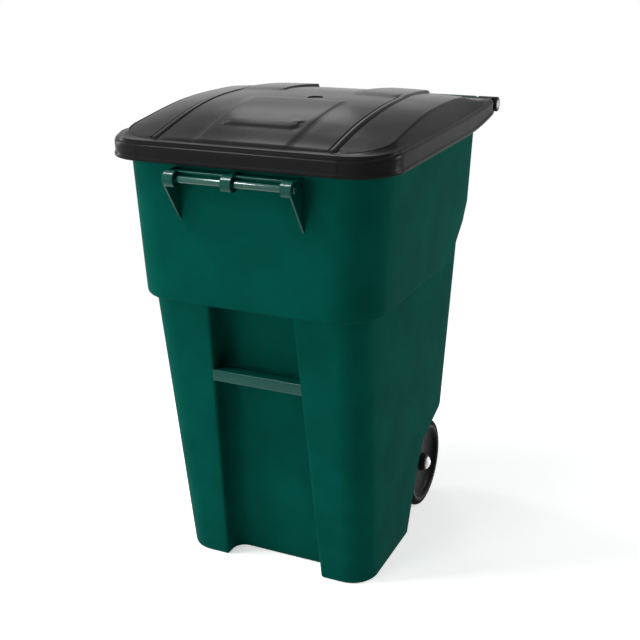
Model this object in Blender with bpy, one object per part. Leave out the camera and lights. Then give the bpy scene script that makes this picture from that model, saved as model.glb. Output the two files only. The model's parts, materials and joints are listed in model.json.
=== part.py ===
"""Two-wheeled rollout waste container with a hinged domed lid.

Units are metres, +Z is up, -Y is the front (the side with the grip bar and the lift bar).
The origin is the middle of the footprint box, on the ground.
"""

import math

import bmesh
import bpy

# Fits
CLEAR = 0.0003              # gap between pieces that touch
OVERRUN = 0.004             # how far a cutter runs past the face it opens
WALL = 0.005                # moulded wall of the bin
SEAT_SHARE = 0.6            # share of a wall that a joined lug sinks into it

# Bin, outside
OVERALL_DEPTH = 0.724       # front of the lift bar bosses to the back of the handle
BASE_WIDTH = 0.439
STEP_FRONT_WIDTH = 0.469    # lower body just under the step, at the front
STEP_REAR_WIDTH = 0.509     # lower body just under the step, at the rear
BAND_LOW_WIDTH = 0.514
RIM_WIDTH = 0.546
RIM_HEIGHT = 0.930
STEP_HEIGHT = 0.606
STEP_DEPTH = 0.021          # how far the upper band stands proud of the lower front
FRONT_RAKE = 0.069          # how far the lower front leans forward up to the step
REAR_RAKE = 0.020
BASE_CORNER = 0.059
BAND_CORNER = 0.090
REAR_STEP_DEPTH = 0.048
REAR_STEP_LOW = 0.655       # height where the sloping step at the rear starts
REAR_STEP_RISE = 0.040
BAND_DRAFT = 0.002          # the band's front and rear lean out by this up to the rim
LOWER_TOP = 0.690           # the lower body ends inside the band at this height
FLOOR = 0.010

# Rim flange
FLANGE_REACH = 0.009
FLANGE_HEIGHT = 0.014
FLANGE_CHAMFER = 0.004

# Front channel and grip bar
CHANNEL_BASE_WIDTH = 0.224
CHANNEL_TOP_WIDTH = 0.182
CHANNEL_BASE_DEPTH = 0.048
CHANNEL_TOP_DEPTH = 0.062
CHANNEL_CORNER = 0.025
GRIP_TOP = 0.467
GRIP_HEIGHT = 0.027
GRIP_DEPTH = 0.034
GRIP_ROUND = 0.007

# Front lift bar and its lugs
LIFT_REACH = 0.054          # band face to the front of the bosses
LIFT_HEIGHT = 0.873
BOSS_RADIUS = 0.016
BOSS_LENGTH = 0.022
LIFT_BAR_RADIUS = 0.007
LIFT_BAR_LENGTH = 0.268
GUSSET_SPAN = 0.262         # outer faces of the two gussets
GUSSET_THICKNESS = 0.004
GUSSET_DROP = 0.086         # bar axis down to the gusset's foot on the band
LEDGE_THICKNESS = 0.004
LEDGE_DROP = 0.003          # ledge top below the top of the bosses
LEDGE_OVERLAP = 0.006
WEB_THICKNESS = 0.008

# Rear handle and hinge
HANDLE_RADIUS = 0.016
HANDLE_REACH = 0.048        # band's rear face to the handle's axis
HANDLE_SPAN = 0.492
HINGE_HEIGHT = 0.930
ARM_THICKNESS = 0.014
ARM_FOOT = 0.052            # how far the arm's foot reaches below the handle's axis
ARM_NECK = 0.030            # level part of the arm's underside, from the handle's axis
PIN_RADIUS = 0.005
PIN_HEAD_RADIUS = 0.009
PIN_HEAD_THICKNESS = 0.003
PIN_GRIP = 0.036            # length of pin held inside the handle

# Lid
LID_WIDTH = 0.594
LID_WALL = 0.004
LID_FRONT_OVERHANG = 0.024
LID_REAR_GAP = 0.012        # hinge axis to the rear corners of the lid's outline
LID_FRONT_CORNER = 0.093
LID_REAR_CORNER = 0.022
LID_EDGE_ROUND = 0.006
SKIRT_DROP = 0.034          # rim top down to the skirt's lower edge
SKIRT_REAR_LIFT = 0.020
SKIRT_LIFT_START = 0.222    # distance from the outline's rear to where the skirt starts to lift
LID_REAR_RISE = 0.010
LID_RISE_START = 0.260
TOE_FRONT_INSET = 0.054     # lid outline to the foot of the dome
TOE_FRONT_HALF = 0.276
TOE_REAR_HALF = 0.228
TOE_CORNER = 0.085
TOE_REAR_CORNER = 0.054
FRONT_ROLL = 0.012          # the dome's short rolled edge at the front
REAR_ROLL = 0.012
DOME_REAR_GAP = 0.106       # hinge axis to the rear foot of the dome
DOME_HEIGHT = 0.0505        # crown above the lid's flange
SHOULDER = 0.034            # width of the dome's rolled shoulder
REAR_EDGE_GAP = 0.024       # hinge axis to the lid's rear edge between the knuckles
KNUCKLE_GAP = 0.006         # handle end to knuckle
KNUCKLE_RADIUS = 0.016
EDGE_STEP = 0.0015          # width of the sloped edge of a raised patch
BEAD_INSET = 0.068          # foot of the dome to the bead's middle, at its nearest
BEAD_WIDTH = 0.008
BEAD_RISE = 0.0018
PAD_INNER_HALF = 0.089
PAD_LENGTH = 0.185
PAD_FRONT_RISE = 0.0012
PAD_REAR_RISE = 0.0045
PLATE_WIDTH = 0.152
PLATE_DEPTH = 0.045
PLATE_RISE = 0.0015
PLATE_SETBACK = 0.104       # lid's front edge to the middle of the blank plate

# Wheels and axle
WHEEL_RADIUS = 0.103
WHEEL_WIDTH = 0.044
AXLE_SETBACK = 0.397        # base front to the axle
AXLE_RADIUS = 0.008
BRACKET_OUTER = 0.147       # outer face of the outer axle brackets, from the middle
BRACKET_THICKNESS = 0.010
BRACKET_PITCH = 0.087
BRACKET_HALF_DEPTH = 0.022
BRACKET_CHIN = 0.016
AXLE_HEADROOM = 0.008       # axle top to the underside between the wheels
SPACER_LENGTH = 0.0105
SPACER_RADIUS = 0.013
BUSH_WALL = 0.0025
BUSH_LENGTH = 0.016
BUSH_FLANGE = 0.0015
BUSH_FLANGE_RADIUS = 0.015
HUB_LENGTH = 0.048
HUB_RADIUS = 0.019
TYRE_DEPTH = 0.012
TYRE_ROUND = 0.008
RIM_WALL = 0.008
WEB_WALL = 0.006
WEB_DISH = 0.008
WASHER_THICKNESS = 0.0015
WASHER_RADIUS = 0.014
CAP_RADIUS = 0.0115
CAP_DEPTH = 0.006
CAP_WALL = 0.0015
AXLE_END_REACH = 0.0035     # axle past the outer washer

# Wheel wells
WELL_INNER = 0.151          # inner wall of the wells, from the middle
WELL_FRONT_GAP = 0.028      # tyre to the well's front wall, at axle height
WELL_LEAN = 0.285           # run over rise of the well's front wall, as a slope
WELL_ROOF_GAP = 0.046       # tyre to the well's roof, above the axle
WELL_ROOF_SLOPE = 0.438
WELL_SHOULDER = 0.054       # how far above the axle the well's front wall stays straight
RECESS_SETBACK = 0.006

# Mesh fineness, as counts
ARC_STEPS = 7
ROUND_STEPS = 32
SMALL_STEPS = 20
LID_ROWS = 14
BODY_LEVELS = 4
BODY_SIDES = 3

# Places that follow from the sizes above
BAND_FRONT_Y = -OVERALL_DEPTH / 2 + LIFT_REACH
HANDLE_Y = OVERALL_DEPTH / 2 - HANDLE_RADIUS
BAND_REAR_Y = HANDLE_Y - HANDLE_REACH
LOWER_FRONT_Y = BAND_FRONT_Y + STEP_DEPTH
BASE_FRONT_Y = LOWER_FRONT_Y + FRONT_RAKE
LOWER_REAR_Y = BAND_REAR_Y - REAR_STEP_DEPTH
BASE_REAR_Y = LOWER_REAR_Y - REAR_RAKE
AXLE_Y = BASE_FRONT_Y + AXLE_SETBACK
AXLE_Z = WHEEL_RADIUS
SEAT = WALL * SEAT_SHARE
BOSS_Y = -OVERALL_DEPTH / 2 + BOSS_RADIUS
LID_FRONT_Y = BAND_FRONT_Y - LID_FRONT_OVERHANG
LID_REAR_Y = HANDLE_Y - LID_REAR_GAP
LID_EDGE_Y = HANDLE_Y - REAR_EDGE_GAP
LID_SEAT_Z = RIM_HEIGHT + CLEAR
TOE_FRONT_Y = LID_FRONT_Y + TOE_FRONT_INSET
TOE_REAR_Y = HANDLE_Y - DOME_REAR_GAP
UNDERSIDE_Z = AXLE_Z + AXLE_RADIUS + AXLE_HEADROOM

# Outlines on the lid: front, rear, half width at each end, corner radius at each end
TOE_BOX = (TOE_FRONT_Y, TOE_REAR_Y, TOE_FRONT_HALF, TOE_REAR_HALF, TOE_CORNER, TOE_REAR_CORNER)
CROWN_BOX = (
    TOE_FRONT_Y + FRONT_ROLL, TOE_REAR_Y - REAR_ROLL, TOE_FRONT_HALF - SHOULDER,
    TOE_REAR_HALF - SHOULDER, TOE_CORNER - SHOULDER, TOE_REAR_CORNER - SHOULDER,
)

# Crown of the lid from its front foot to its rear foot, as shares of length and of height
CROWN_SHARES = (
    (0.00, 0.06), (0.11, 0.41), (0.23, 0.71), (0.35, 0.90), (0.47, 0.99),
    (0.59, 1.00), (0.70, 0.97), (0.85, 0.79), (1.00, 0.51),
)
# Bead's distance from the dome's foot, as shares of the lid's length and of the inset
BEAD_SHARES = ((0.0, 1.53), (0.12, 1.18), (0.25, 1.0), (0.5, 1.0), (0.8, 0.97), (1.0, 0.92))
# Rings up the dome's rolled edge, as shares of its width and of the crown's height
ROLL_SHARES = ((0.5, 0.78), (0.2, 0.39), (0.0, 0.0))
# Middle ring of the flange's rounded edge, as a share of the round
EDGE_ROUND_SHARE = 0.3
# Rows of points round the crown's corners, as shares of the corner radius
CORNER_SHARES = (0.034, 0.134, 0.293, 0.5, 0.741, 1.0)


def clear_scene():
    """Remove every object, so that the file holds only this container."""
    for item in list(bpy.data.objects):
        bpy.data.objects.remove(item, do_unlink=True)


def finish(name, colour, roughness, metallic=0.0):
    """Make a piece's material."""
    material = bpy.data.materials.new(name)
    material.use_nodes = True
    shader = material.node_tree.nodes["Principled BSDF"]
    shader.inputs["Base Color"].default_value = (*colour, 1.0)
    shader.inputs["Roughness"].default_value = roughness
    shader.inputs["Metallic"].default_value = metallic
    return material


def solid(name, points, faces, smooth=True):
    """Make a closed mesh object with its faces pointing out."""
    shape = bmesh.new()
    corners = [shape.verts.new(point) for point in points]
    for face in faces:
        shape.faces.new([corners[index] for index in face])
    bmesh.ops.recalc_face_normals(shape, faces=shape.faces)
    mesh = bpy.data.meshes.new(name)
    shape.to_mesh(mesh)
    shape.free()
    if smooth:
        mesh.shade_smooth()
        mesh.set_sharp_from_angle(angle=math.radians(35))
    item = bpy.data.objects.new(name, mesh)
    bpy.context.scene.collection.objects.link(item)
    return item


def guide(item):
    """Mark a shape that only cuts or joins another."""
    item.hide_render = True
    item.display_type = "WIRE"
    return item


def combine(item, tool, operation):
    """Cut or join one shape with another."""
    step = item.modifiers.new(tool.name, "BOOLEAN")
    step.object = guide(tool)
    step.operation = operation
    step.solver = "EXACT"
    return item


def cut(item, *tools):
    """Take shapes out of a piece."""
    for tool in tools:
        combine(item, tool, "DIFFERENCE")
    return item


def join(item, *tools):
    """Fuse shapes into a piece."""
    for tool in tools:
        combine(item, tool, "UNION")
    return item


def spread(start, end, count):
    """Points strictly between two points."""
    return [
        tuple(a + (b - a) * step / count for a, b in zip(start, end))
        for step in range(1, count)
    ]


def outline(front, rear, front_half, rear_half, front_corner, rear_corner, sides=1, ends=1):
    """Rounded outline seen from above, anticlockwise from the front left corner."""
    corners = (
        (-front_half + front_corner, front + front_corner, front_corner, 180),
        (front_half - front_corner, front + front_corner, front_corner, 270),
        (rear_half - rear_corner, rear - rear_corner, rear_corner, 0),
        (-rear_half + rear_corner, rear - rear_corner, rear_corner, 90),
    )
    arcs = []
    for middle_x, middle_y, radius, start in corners:
        angles = [math.radians(start + 90 * step / ARC_STEPS) for step in range(ARC_STEPS + 1)]
        arcs.append([
            (middle_x + radius * math.cos(angle), middle_y + radius * math.sin(angle))
            for angle in angles
        ])
    points = []
    for index, arc in enumerate(arcs):
        points += arc
        points += spread(arc[-1], arcs[(index + 1) % 4][0], (ends, sides)[index % 2])
    return points


def loft(name, rings):
    """Skin a stack of matching rings and cap both ends."""
    count = len(rings[0])
    points = [point for ring in rings for point in ring]
    faces = []
    for level in range(len(rings) - 1):
        for step in range(count):
            low, high = level * count, (level + 1) * count
            following = (step + 1) % count
            faces.append((low + step, low + following, high + following, high + step))
    faces.append(tuple(range(count))[::-1])
    faces.append(tuple(range((len(rings) - 1) * count, len(rings) * count)))
    return solid(name, points, faces)


def level_ring(flat, height):
    """Lift a flat outline to a height."""
    return [(x, y, height) for x, y in flat]


def prism(name, profile, left, right):
    """Run a profile of (y, z) points along X."""
    return loft(name, [[(x, y, z) for y, z in profile] for x in (left, right)])


def circle(middle_y, middle_z, radius, steps=SMALL_STEPS):
    """Round profile of (y, z) points."""
    turns = [2 * math.pi * step / steps for step in range(steps)]
    return [(middle_y + radius * math.cos(turn), middle_z + radius * math.sin(turn)) for turn in turns]


def rod(name, middle_y, middle_z, radius, left, right, steps=SMALL_STEPS):
    """Round bar along X."""
    return prism(name, circle(middle_y, middle_z, radius, steps), left, right)


def block(name, left, right, front, rear, low, high):
    """Plain block between six planes."""
    return prism(name, [(front, low), (rear, low), (rear, high), (front, high)], left, right)


def turned(name, profile, side, steps=ROUND_STEPS):
    """Turn a closed profile of (x, radius) points round the axle; side is -1 or 1."""
    points, faces = [], []
    count = len(profile)
    for turn in range(steps):
        angle = 2 * math.pi * turn / steps
        for x, radius in profile:
            points.append((side * x, AXLE_Y + radius * math.cos(angle), AXLE_Z + radius * math.sin(angle)))
    for turn in range(steps):
        here, there = turn * count, (turn + 1) % steps * count
        for step in range(count):
            following = (step + 1) % count
            faces.append((here + step, here + following, there + following, there + step))
    return solid(name, points, faces)


def share_at(table, place):
    """Smooth reading of a table of (place, value) shares."""
    place = min(max(place, table[0][0]), table[-1][0])
    index = next(step for step in range(1, len(table)) if place <= table[step][0])
    (start, low), (end, high) = table[index - 1], table[index]
    before, after = table[max(index - 2, 0)], table[min(index + 1, len(table) - 1)]
    length = end - start
    part = (place - start) / length
    leave = (high - before[1]) / (end - before[0]) * length
    arrive = (after[1] - low) / (after[0] - start) * length
    blend = part * part * (3 - 2 * part)
    bend = leave * part * (1 - part) ** 2 - arrive * part ** 2 * (1 - part)
    return low + (high - low) * blend + bend


def lower_front(height):
    """Y of the lower body's front face at a height."""
    return BASE_FRONT_Y - FRONT_RAKE * height / STEP_HEIGHT


def lower_ring(height, inset):
    """Outline of the lower body at a height, moved in by a wall."""
    rise = height / STEP_HEIGHT
    front_half = (BASE_WIDTH + (STEP_FRONT_WIDTH - BASE_WIDTH) * rise) / 2 - inset
    rear_half = (BASE_WIDTH + (STEP_REAR_WIDTH - BASE_WIDTH) * rise) / 2 - inset
    rear = BASE_REAR_Y + REAR_RAKE * rise - inset
    corner = BASE_CORNER - inset
    front = lower_front(height) + inset
    flat = outline(front, rear, front_half, rear_half, corner, corner, BODY_SIDES)
    return level_ring(flat, height)


def lower_rings(low, high, inset):
    """Stack of outlines of the lower body between two heights."""
    return [
        lower_ring(low + (high - low) * step / BODY_LEVELS, inset) for step in range(BODY_LEVELS + 1)
    ]


def band_ring(height, inset):
    """Outline of the upper band at a height, moved in by a wall."""
    rise = (height - STEP_HEIGHT) / (RIM_HEIGHT - STEP_HEIGHT)
    half = (BAND_LOW_WIDTH + (RIM_WIDTH - BAND_LOW_WIDTH) * rise) / 2 - inset
    lean = BAND_DRAFT * rise
    front = BAND_FRONT_Y - lean + inset
    rear = BAND_REAR_Y - BAND_DRAFT + lean - inset
    corner = BAND_CORNER - inset
    return level_ring(outline(front, rear, half, half, corner, corner), height)


def rear_undercut(name, lift):
    """Wedge that slopes the band's underside up towards the rear; lift raises the slope."""
    slope = REAR_STEP_RISE / REAR_STEP_DEPTH
    low = STEP_HEIGHT - WALL
    start = LOWER_REAR_Y - (REAR_STEP_LOW - low) / slope
    end = BAND_REAR_Y + WALL
    top = REAR_STEP_LOW + (end - LOWER_REAR_Y) * slope + lift
    profile = [(start, low - OVERRUN), (end, low - OVERRUN), (end, top), (start, low + lift)]
    return prism(name, profile, -RIM_WIDTH, RIM_WIDTH)


def channel(name, wall, top):
    """Front channel from below the base up to a height, with its walls grown by a wall."""
    rings = []
    for height in (-OVERRUN, top):
        rise = height / STEP_HEIGHT
        half = (CHANNEL_BASE_WIDTH + (CHANNEL_TOP_WIDTH - CHANNEL_BASE_WIDTH) * rise) / 2 + wall
        depth = CHANNEL_BASE_DEPTH + (CHANNEL_TOP_DEPTH - CHANNEL_BASE_DEPTH) * rise + wall
        front = lower_front(height) - STEP_DEPTH
        rear = lower_front(height) + depth
        flat = outline(front, rear, half, half, WALL, CHANNEL_CORNER + wall)
        rings.append(level_ring(flat, height))
    return loft(name, rings)


def well_front(height):
    """Y of the wheel well's front wall at a height."""
    return AXLE_Y - WHEEL_RADIUS - WELL_FRONT_GAP + WELL_LEAN * (height - AXLE_Z)


def well(name, side, wall):
    """Wheel well on one side, with its walls grown by a wall."""
    shoulder_z = AXLE_Z + WELL_SHOULDER
    rear = LOWER_REAR_Y + WELL_INNER
    roof_z = AXLE_Z + WHEEL_RADIUS + WELL_ROOF_GAP + wall
    knee_y = well_front(shoulder_z) + WELL_SHOULDER * WELL_ROOF_SLOPE
    profile = [
        (well_front(-OVERRUN) - wall, -OVERRUN),
        (rear, -OVERRUN),
        (rear, roof_z + (rear - AXLE_Y) * WELL_ROOF_SLOPE),
        (knee_y, roof_z + (knee_y - AXLE_Y) * WELL_ROOF_SLOPE),
        (well_front(shoulder_z) - wall, shoulder_z),
    ]
    ends = sorted((side * (WELL_INNER - wall), side * RIM_WIDTH))
    return prism(name, profile, *ends)


def recess(name, wall):
    """Open space under the bin between the wheel wells."""
    top = UNDERSIDE_Z + wall
    front = RECESS_SETBACK - wall
    profile = [
        (well_front(-OVERRUN) + front, -OVERRUN),
        (LOWER_REAR_Y + WELL_INNER, -OVERRUN),
        (LOWER_REAR_Y + WELL_INNER, top),
        (well_front(top) + front, top),
    ]
    reach = WELL_INNER + WALL * 2
    return prism(name, profile, -reach, reach)


def cavity():
    """Inside of the bin."""
    space = loft("cavity_lower", lower_rings(FLOOR, LOWER_TOP - WALL, WALL))
    band = loft("cavity_band", [
        band_ring(STEP_HEIGHT + WALL, WALL),
        band_ring(RIM_HEIGHT + OVERRUN, WALL),
    ])
    cut(band, rear_undercut("cavity_undercut", WALL * math.sqrt(2)))
    cut(space, channel("cavity_channel", WALL, STEP_HEIGHT + WALL * 2))
    join(space, band)
    cut(space, well("cavity_well_left", -1, WALL), well("cavity_well_right", 1, WALL))
    return cut(space, recess("cavity_recess", WALL))


def rim_flange():
    """Flange round the mouth."""
    def ring(height, reach):
        return [
            (x, y, height) for x, y, _ in band_ring(RIM_HEIGHT, -reach)
        ]
    low = RIM_HEIGHT - FLANGE_HEIGHT
    return loft("rim_flange", [
        ring(low, FLANGE_REACH - FLANGE_CHAMFER),
        ring(low + FLANGE_CHAMFER, FLANGE_REACH),
        ring(RIM_HEIGHT, FLANGE_REACH),
    ])


def grip_bar():
    """Bar across the front channel, flush with the lower front."""
    low = GRIP_TOP - GRIP_HEIGHT
    front_top, front_low = lower_front(GRIP_TOP), lower_front(low)
    edge = GRIP_ROUND
    profile = [
        (front_low + edge, low), (front_low + GRIP_DEPTH - edge, low),
        (front_low + GRIP_DEPTH, low + edge), (front_low + GRIP_DEPTH, GRIP_TOP - edge),
        (front_low + GRIP_DEPTH - edge, GRIP_TOP), (front_top + edge, GRIP_TOP),
        (front_top + edge * (1 - math.sqrt(0.5)), GRIP_TOP - edge * (1 - math.sqrt(0.5))),
        (front_top, GRIP_TOP - edge), (front_low, low + edge),
    ]
    rise = (GRIP_TOP - GRIP_HEIGHT / 2) / STEP_HEIGHT
    half = (CHANNEL_BASE_WIDTH + (CHANNEL_TOP_WIDTH - CHANNEL_BASE_WIDTH) * rise) / 2 + SEAT
    return prism("grip_bar", profile, -half, half)


def lift_lugs():
    """Gussets, bosses, centre web and ledge that carry the lift bar."""
    wall_y = BAND_FRONT_Y + SEAT - BAND_DRAFT
    outer = GUSSET_SPAN / 2
    foot_z = LIFT_HEIGHT - GUSSET_DROP
    top_z = LIFT_HEIGHT + BOSS_RADIUS
    arc = [math.radians(angle) for angle in range(225, 89, -15)]
    nose = [(BOSS_Y + BOSS_RADIUS * math.cos(a), LIFT_HEIGHT + BOSS_RADIUS * math.sin(a)) for a in arc]
    gusset = [(wall_y, foot_z), *nose, (wall_y, top_z)]
    web = [(wall_y, LIFT_HEIGHT - BOSS_RADIUS), *nose, (wall_y, top_z)]
    tools = []
    for side, word in ((-1, "left"), (1, "right")):
        ends = sorted((side * outer, side * (outer - GUSSET_THICKNESS)))
        tools.append(prism(f"gusset_{word}", gusset, *ends))
        ends = sorted((side * (outer - CLEAR), side * (outer - BOSS_LENGTH)))
        tools.append(rod(f"boss_{word}", BOSS_Y, LIFT_HEIGHT, BOSS_RADIUS, *ends))
    tools.append(rod("boss_middle", BOSS_Y, LIFT_HEIGHT, BOSS_RADIUS, -BOSS_LENGTH / 2, BOSS_LENGTH / 2))
    tools.append(prism("lift_web", web, -WEB_THICKNESS / 2, WEB_THICKNESS / 2))
    ledge_top = top_z - LEDGE_DROP
    ledge_front = BOSS_Y + BOSS_RADIUS - LEDGE_OVERLAP
    half = outer - GUSSET_THICKNESS / 2
    tools.append(block("ledge", -half, half, ledge_front, wall_y, ledge_top - LEDGE_THICKNESS, ledge_top))
    return tools


def handle_arm(side, word):
    """Arm that carries one end of the rear handle."""
    half = HANDLE_SPAN / 2
    inside_y = BAND_REAR_Y - BAND_CORNER
    neck_y = HANDLE_Y - ARM_NECK
    top_z = RIM_HEIGHT - FLANGE_CHAMFER
    profile = [
        (inside_y, HINGE_HEIGHT - ARM_FOOT),
        (BAND_REAR_Y, HINGE_HEIGHT - ARM_FOOT),
        (neck_y, HINGE_HEIGHT - HANDLE_RADIUS),
        *[
            (HANDLE_Y + HANDLE_RADIUS * math.cos(turn), HINGE_HEIGHT + HANDLE_RADIUS * math.sin(turn))
            for turn in [math.radians(angle) for angle in range(-90, 91, 20)]
        ],
        (HANDLE_Y - HANDLE_RADIUS, HINGE_HEIGHT),
        (BAND_REAR_Y + FLANGE_REACH * 2, top_z),
        (inside_y, top_z),
    ]
    ends = sorted((side * half, side * (half - ARM_THICKNESS)))
    return prism(f"handle_arm_{word}", profile, *ends)


def axle_brackets():
    """Four plates under the bin that hold the axle."""
    tools = []
    for side in (-1, 1):
        for index in range(2):
            outer = BRACKET_OUTER - index * BRACKET_PITCH
            ends = sorted((side * outer, side * (outer - BRACKET_THICKNESS)))
            low = AXLE_Z - BRACKET_CHIN
            profile = [
                (AXLE_Y - BRACKET_HALF_DEPTH, UNDERSIDE_Z + SEAT),
                (AXLE_Y - BRACKET_CHIN, low), (AXLE_Y + BRACKET_CHIN, low),
                (AXLE_Y + BRACKET_HALF_DEPTH, UNDERSIDE_Z + SEAT),
            ]
            tools.append(prism(f"axle_bracket_{side}_{index}", profile, *ends))
    return tools


def build_body():
    """Moulded bin with its channel, grip bar, lugs, handle and axle brackets."""
    body = loft("bin_body", lower_rings(0.0, LOWER_TOP, 0.0))
    cut(body, channel("channel", 0.0, STEP_HEIGHT + WALL / 2))
    band = loft("band", [band_ring(STEP_HEIGHT, 0.0), band_ring(RIM_HEIGHT - FLANGE_CHAMFER, 0.0)])
    join(body, cut(band, rear_undercut("undercut", 0.0)))
    join(body, rim_flange(), handle_arm(-1, "left"), handle_arm(1, "right"))
    cut(body, well("well_left", -1, 0.0), well("well_right", 1, 0.0), recess("recess", 0.0))
    cut(body, cavity())
    join(body, grip_bar(), *lift_lugs())
    half = HANDLE_SPAN / 2
    join(body, rod("handle", HANDLE_Y, HINGE_HEIGHT, HANDLE_RADIUS, CLEAR - half, half - CLEAR))
    join(body, *axle_brackets())
    reach = LIFT_BAR_LENGTH
    cut(body, rod("lift_bore", BOSS_Y, LIFT_HEIGHT, LIFT_BAR_RADIUS + CLEAR, -reach, reach))
    cut(body, rod("axle_bore", AXLE_Y, AXLE_Z, AXLE_RADIUS + CLEAR, -WELL_INNER, WELL_INNER))
    for side, word in ((-1, "left"), (1, "right")):
        ends = sorted((side * (half - PIN_GRIP - CLEAR), side * (half + OVERRUN)))
        cut(body, rod(f"pin_bore_{word}", HANDLE_Y, HINGE_HEIGHT, PIN_RADIUS + CLEAR, *ends))
    body.data.materials.append(finish("green_polyethylene", (0.006, 0.070, 0.055), 0.35))
    return body


def build_lift_bar():
    """Bar in the three bosses at the front."""
    half = LIFT_BAR_LENGTH / 2
    item = rod("lift_bar", BOSS_Y, LIFT_HEIGHT, LIFT_BAR_RADIUS, -half, half)
    item.data.materials.append(finish("green_painted_steel", (0.006, 0.080, 0.062), 0.3))


def flange_height(y):
    """Top of the lid's flange, which lifts a little towards the hinge."""
    start = LID_REAR_Y - LID_RISE_START
    rise = max(0.0, (y - start) / LID_RISE_START)
    return LID_SEAT_Z + LID_WALL + LID_REAR_RISE * rise ** 2


def skirt_bottom(y):
    """Lower edge of the lid's skirt, which lifts towards the hinge."""
    start = LID_REAR_Y - SKIRT_LIFT_START
    rise = max(0.0, (y - start) / SKIRT_LIFT_START)
    return RIM_HEIGHT - SKIRT_DROP + SKIRT_REAR_LIFT * rise ** 2


def dome_height(y):
    """Top of the dome along its length."""
    place = (y - TOE_FRONT_Y) / (TOE_REAR_Y - TOE_FRONT_Y)
    return flange_height(y) + DOME_HEIGHT * share_at(CROWN_SHARES, place)


def half_width(y, box):
    """Half width of a rounded outline at a place along the lid."""
    front, rear, front_half, rear_half, front_corner, rear_corner = box
    front_end, rear_end = front + front_corner, rear - rear_corner
    level = min(max(y, front_end), rear_end)
    half = front_half + (rear_half - front_half) * (level - front) / (rear - front)
    corner = front_corner if y < front_end else rear_corner
    short = min(abs(y - level), corner)
    return half - corner + math.sqrt(corner ** 2 - short ** 2)


def lid_box(inset):
    """Lid's outline moved in."""
    half = LID_WIDTH / 2 - inset
    front_corner, rear_corner = LID_FRONT_CORNER - inset, LID_REAR_CORNER - inset
    return LID_FRONT_Y + inset, LID_REAR_Y - inset, half, half, front_corner, rear_corner


def track_at(y, factor):
    """How far round the crown's outline a row ends, to be found again on other outlines."""
    front, rear, _, _, front_corner, rear_corner = CROWN_BOX
    if y < front + front_corner:
        return "front", math.acos(1 - (y - front) / front_corner), factor
    if y > rear - rear_corner:
        return "rear", math.acos(1 - (rear - y) / rear_corner), factor
    length = rear - rear_corner - front - front_corner
    return "side", (y - front - front_corner) / length, factor


def place_on(track, box):
    """Point of an outline that matches a track."""
    zone, amount, factor = track
    front, rear, _, _, front_corner, rear_corner = box
    if zone == "front":
        y = front + front_corner * (1 - math.cos(amount))
    elif zone == "rear":
        y = rear - rear_corner * (1 - math.cos(amount))
    else:
        y = front + front_corner + (rear - rear_corner - front - front_corner) * amount
    return factor * half_width(y, box), y


def plate_ends():
    """Front and rear edge of the blank plate."""
    middle = LID_FRONT_Y + PLATE_SETBACK
    return middle - PLATE_DEPTH / 2, middle + PLATE_DEPTH / 2


def crown_rows():
    """Rows of points across the crown, at each raised edge and evenly between them."""
    front, rear = CROWN_BOX[0], CROWN_BOX[1]
    plate_front, plate_rear = plate_ends()
    pad_front = TOE_REAR_Y - PAD_LENGTH
    rows = [
        front, plate_front, plate_front + EDGE_STEP, plate_rear - EDGE_STEP, plate_rear,
        pad_front, pad_front + EDGE_STEP, rear,
    ]
    others = [front + CROWN_BOX[4] * share for share in CORNER_SHARES]
    others += [rear - CROWN_BOX[5] * share for share in CORNER_SHARES]
    others += [front + (rear - front) * step / LID_ROWS for step in range(1, LID_ROWS)]
    for y in others:
        if min(abs(y - row) for row in rows) > EDGE_STEP:
            rows.append(y)
    return sorted(rows)


def crown_columns(y):
    """Columns of points across the crown at a row, at each raised edge, from left to right."""
    place = (y - TOE_FRONT_Y) / (TOE_REAR_Y - TOE_FRONT_Y)
    bead = half_width(y, TOE_BOX[:4] + (0, 0)) - BEAD_INSET * share_at(BEAD_SHARES, place)
    half = BEAD_WIDTH / 2
    right = [
        PLATE_WIDTH / 2, PLATE_WIDTH / 2 + EDGE_STEP, PAD_INNER_HALF - EDGE_STEP, PAD_INNER_HALF,
        bead - half, bead - half + EDGE_STEP, bead + half - EDGE_STEP, bead + half,
        half_width(y, CROWN_BOX),
    ]
    return [-x for x in right[::-1]] + [0.0] + right


def relief(column, y):
    """Rise of the raised patches at a column, counted from the middle one."""
    plate_front, plate_rear = plate_ends()
    pad_front = TOE_REAR_Y - PAD_LENGTH
    rises = [0.0]
    if column < 2 and plate_front + CLEAR < y < plate_rear - CLEAR:
        rises.append(PLATE_RISE)
    if 4 <= column <= 7 and y > pad_front + CLEAR:
        rises.append(PAD_FRONT_RISE + (PAD_REAR_RISE - PAD_FRONT_RISE) * (y - pad_front) / PAD_LENGTH)
    if 6 <= column <= 7:
        rises.append(BEAD_RISE)
    return max(rises)


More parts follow.
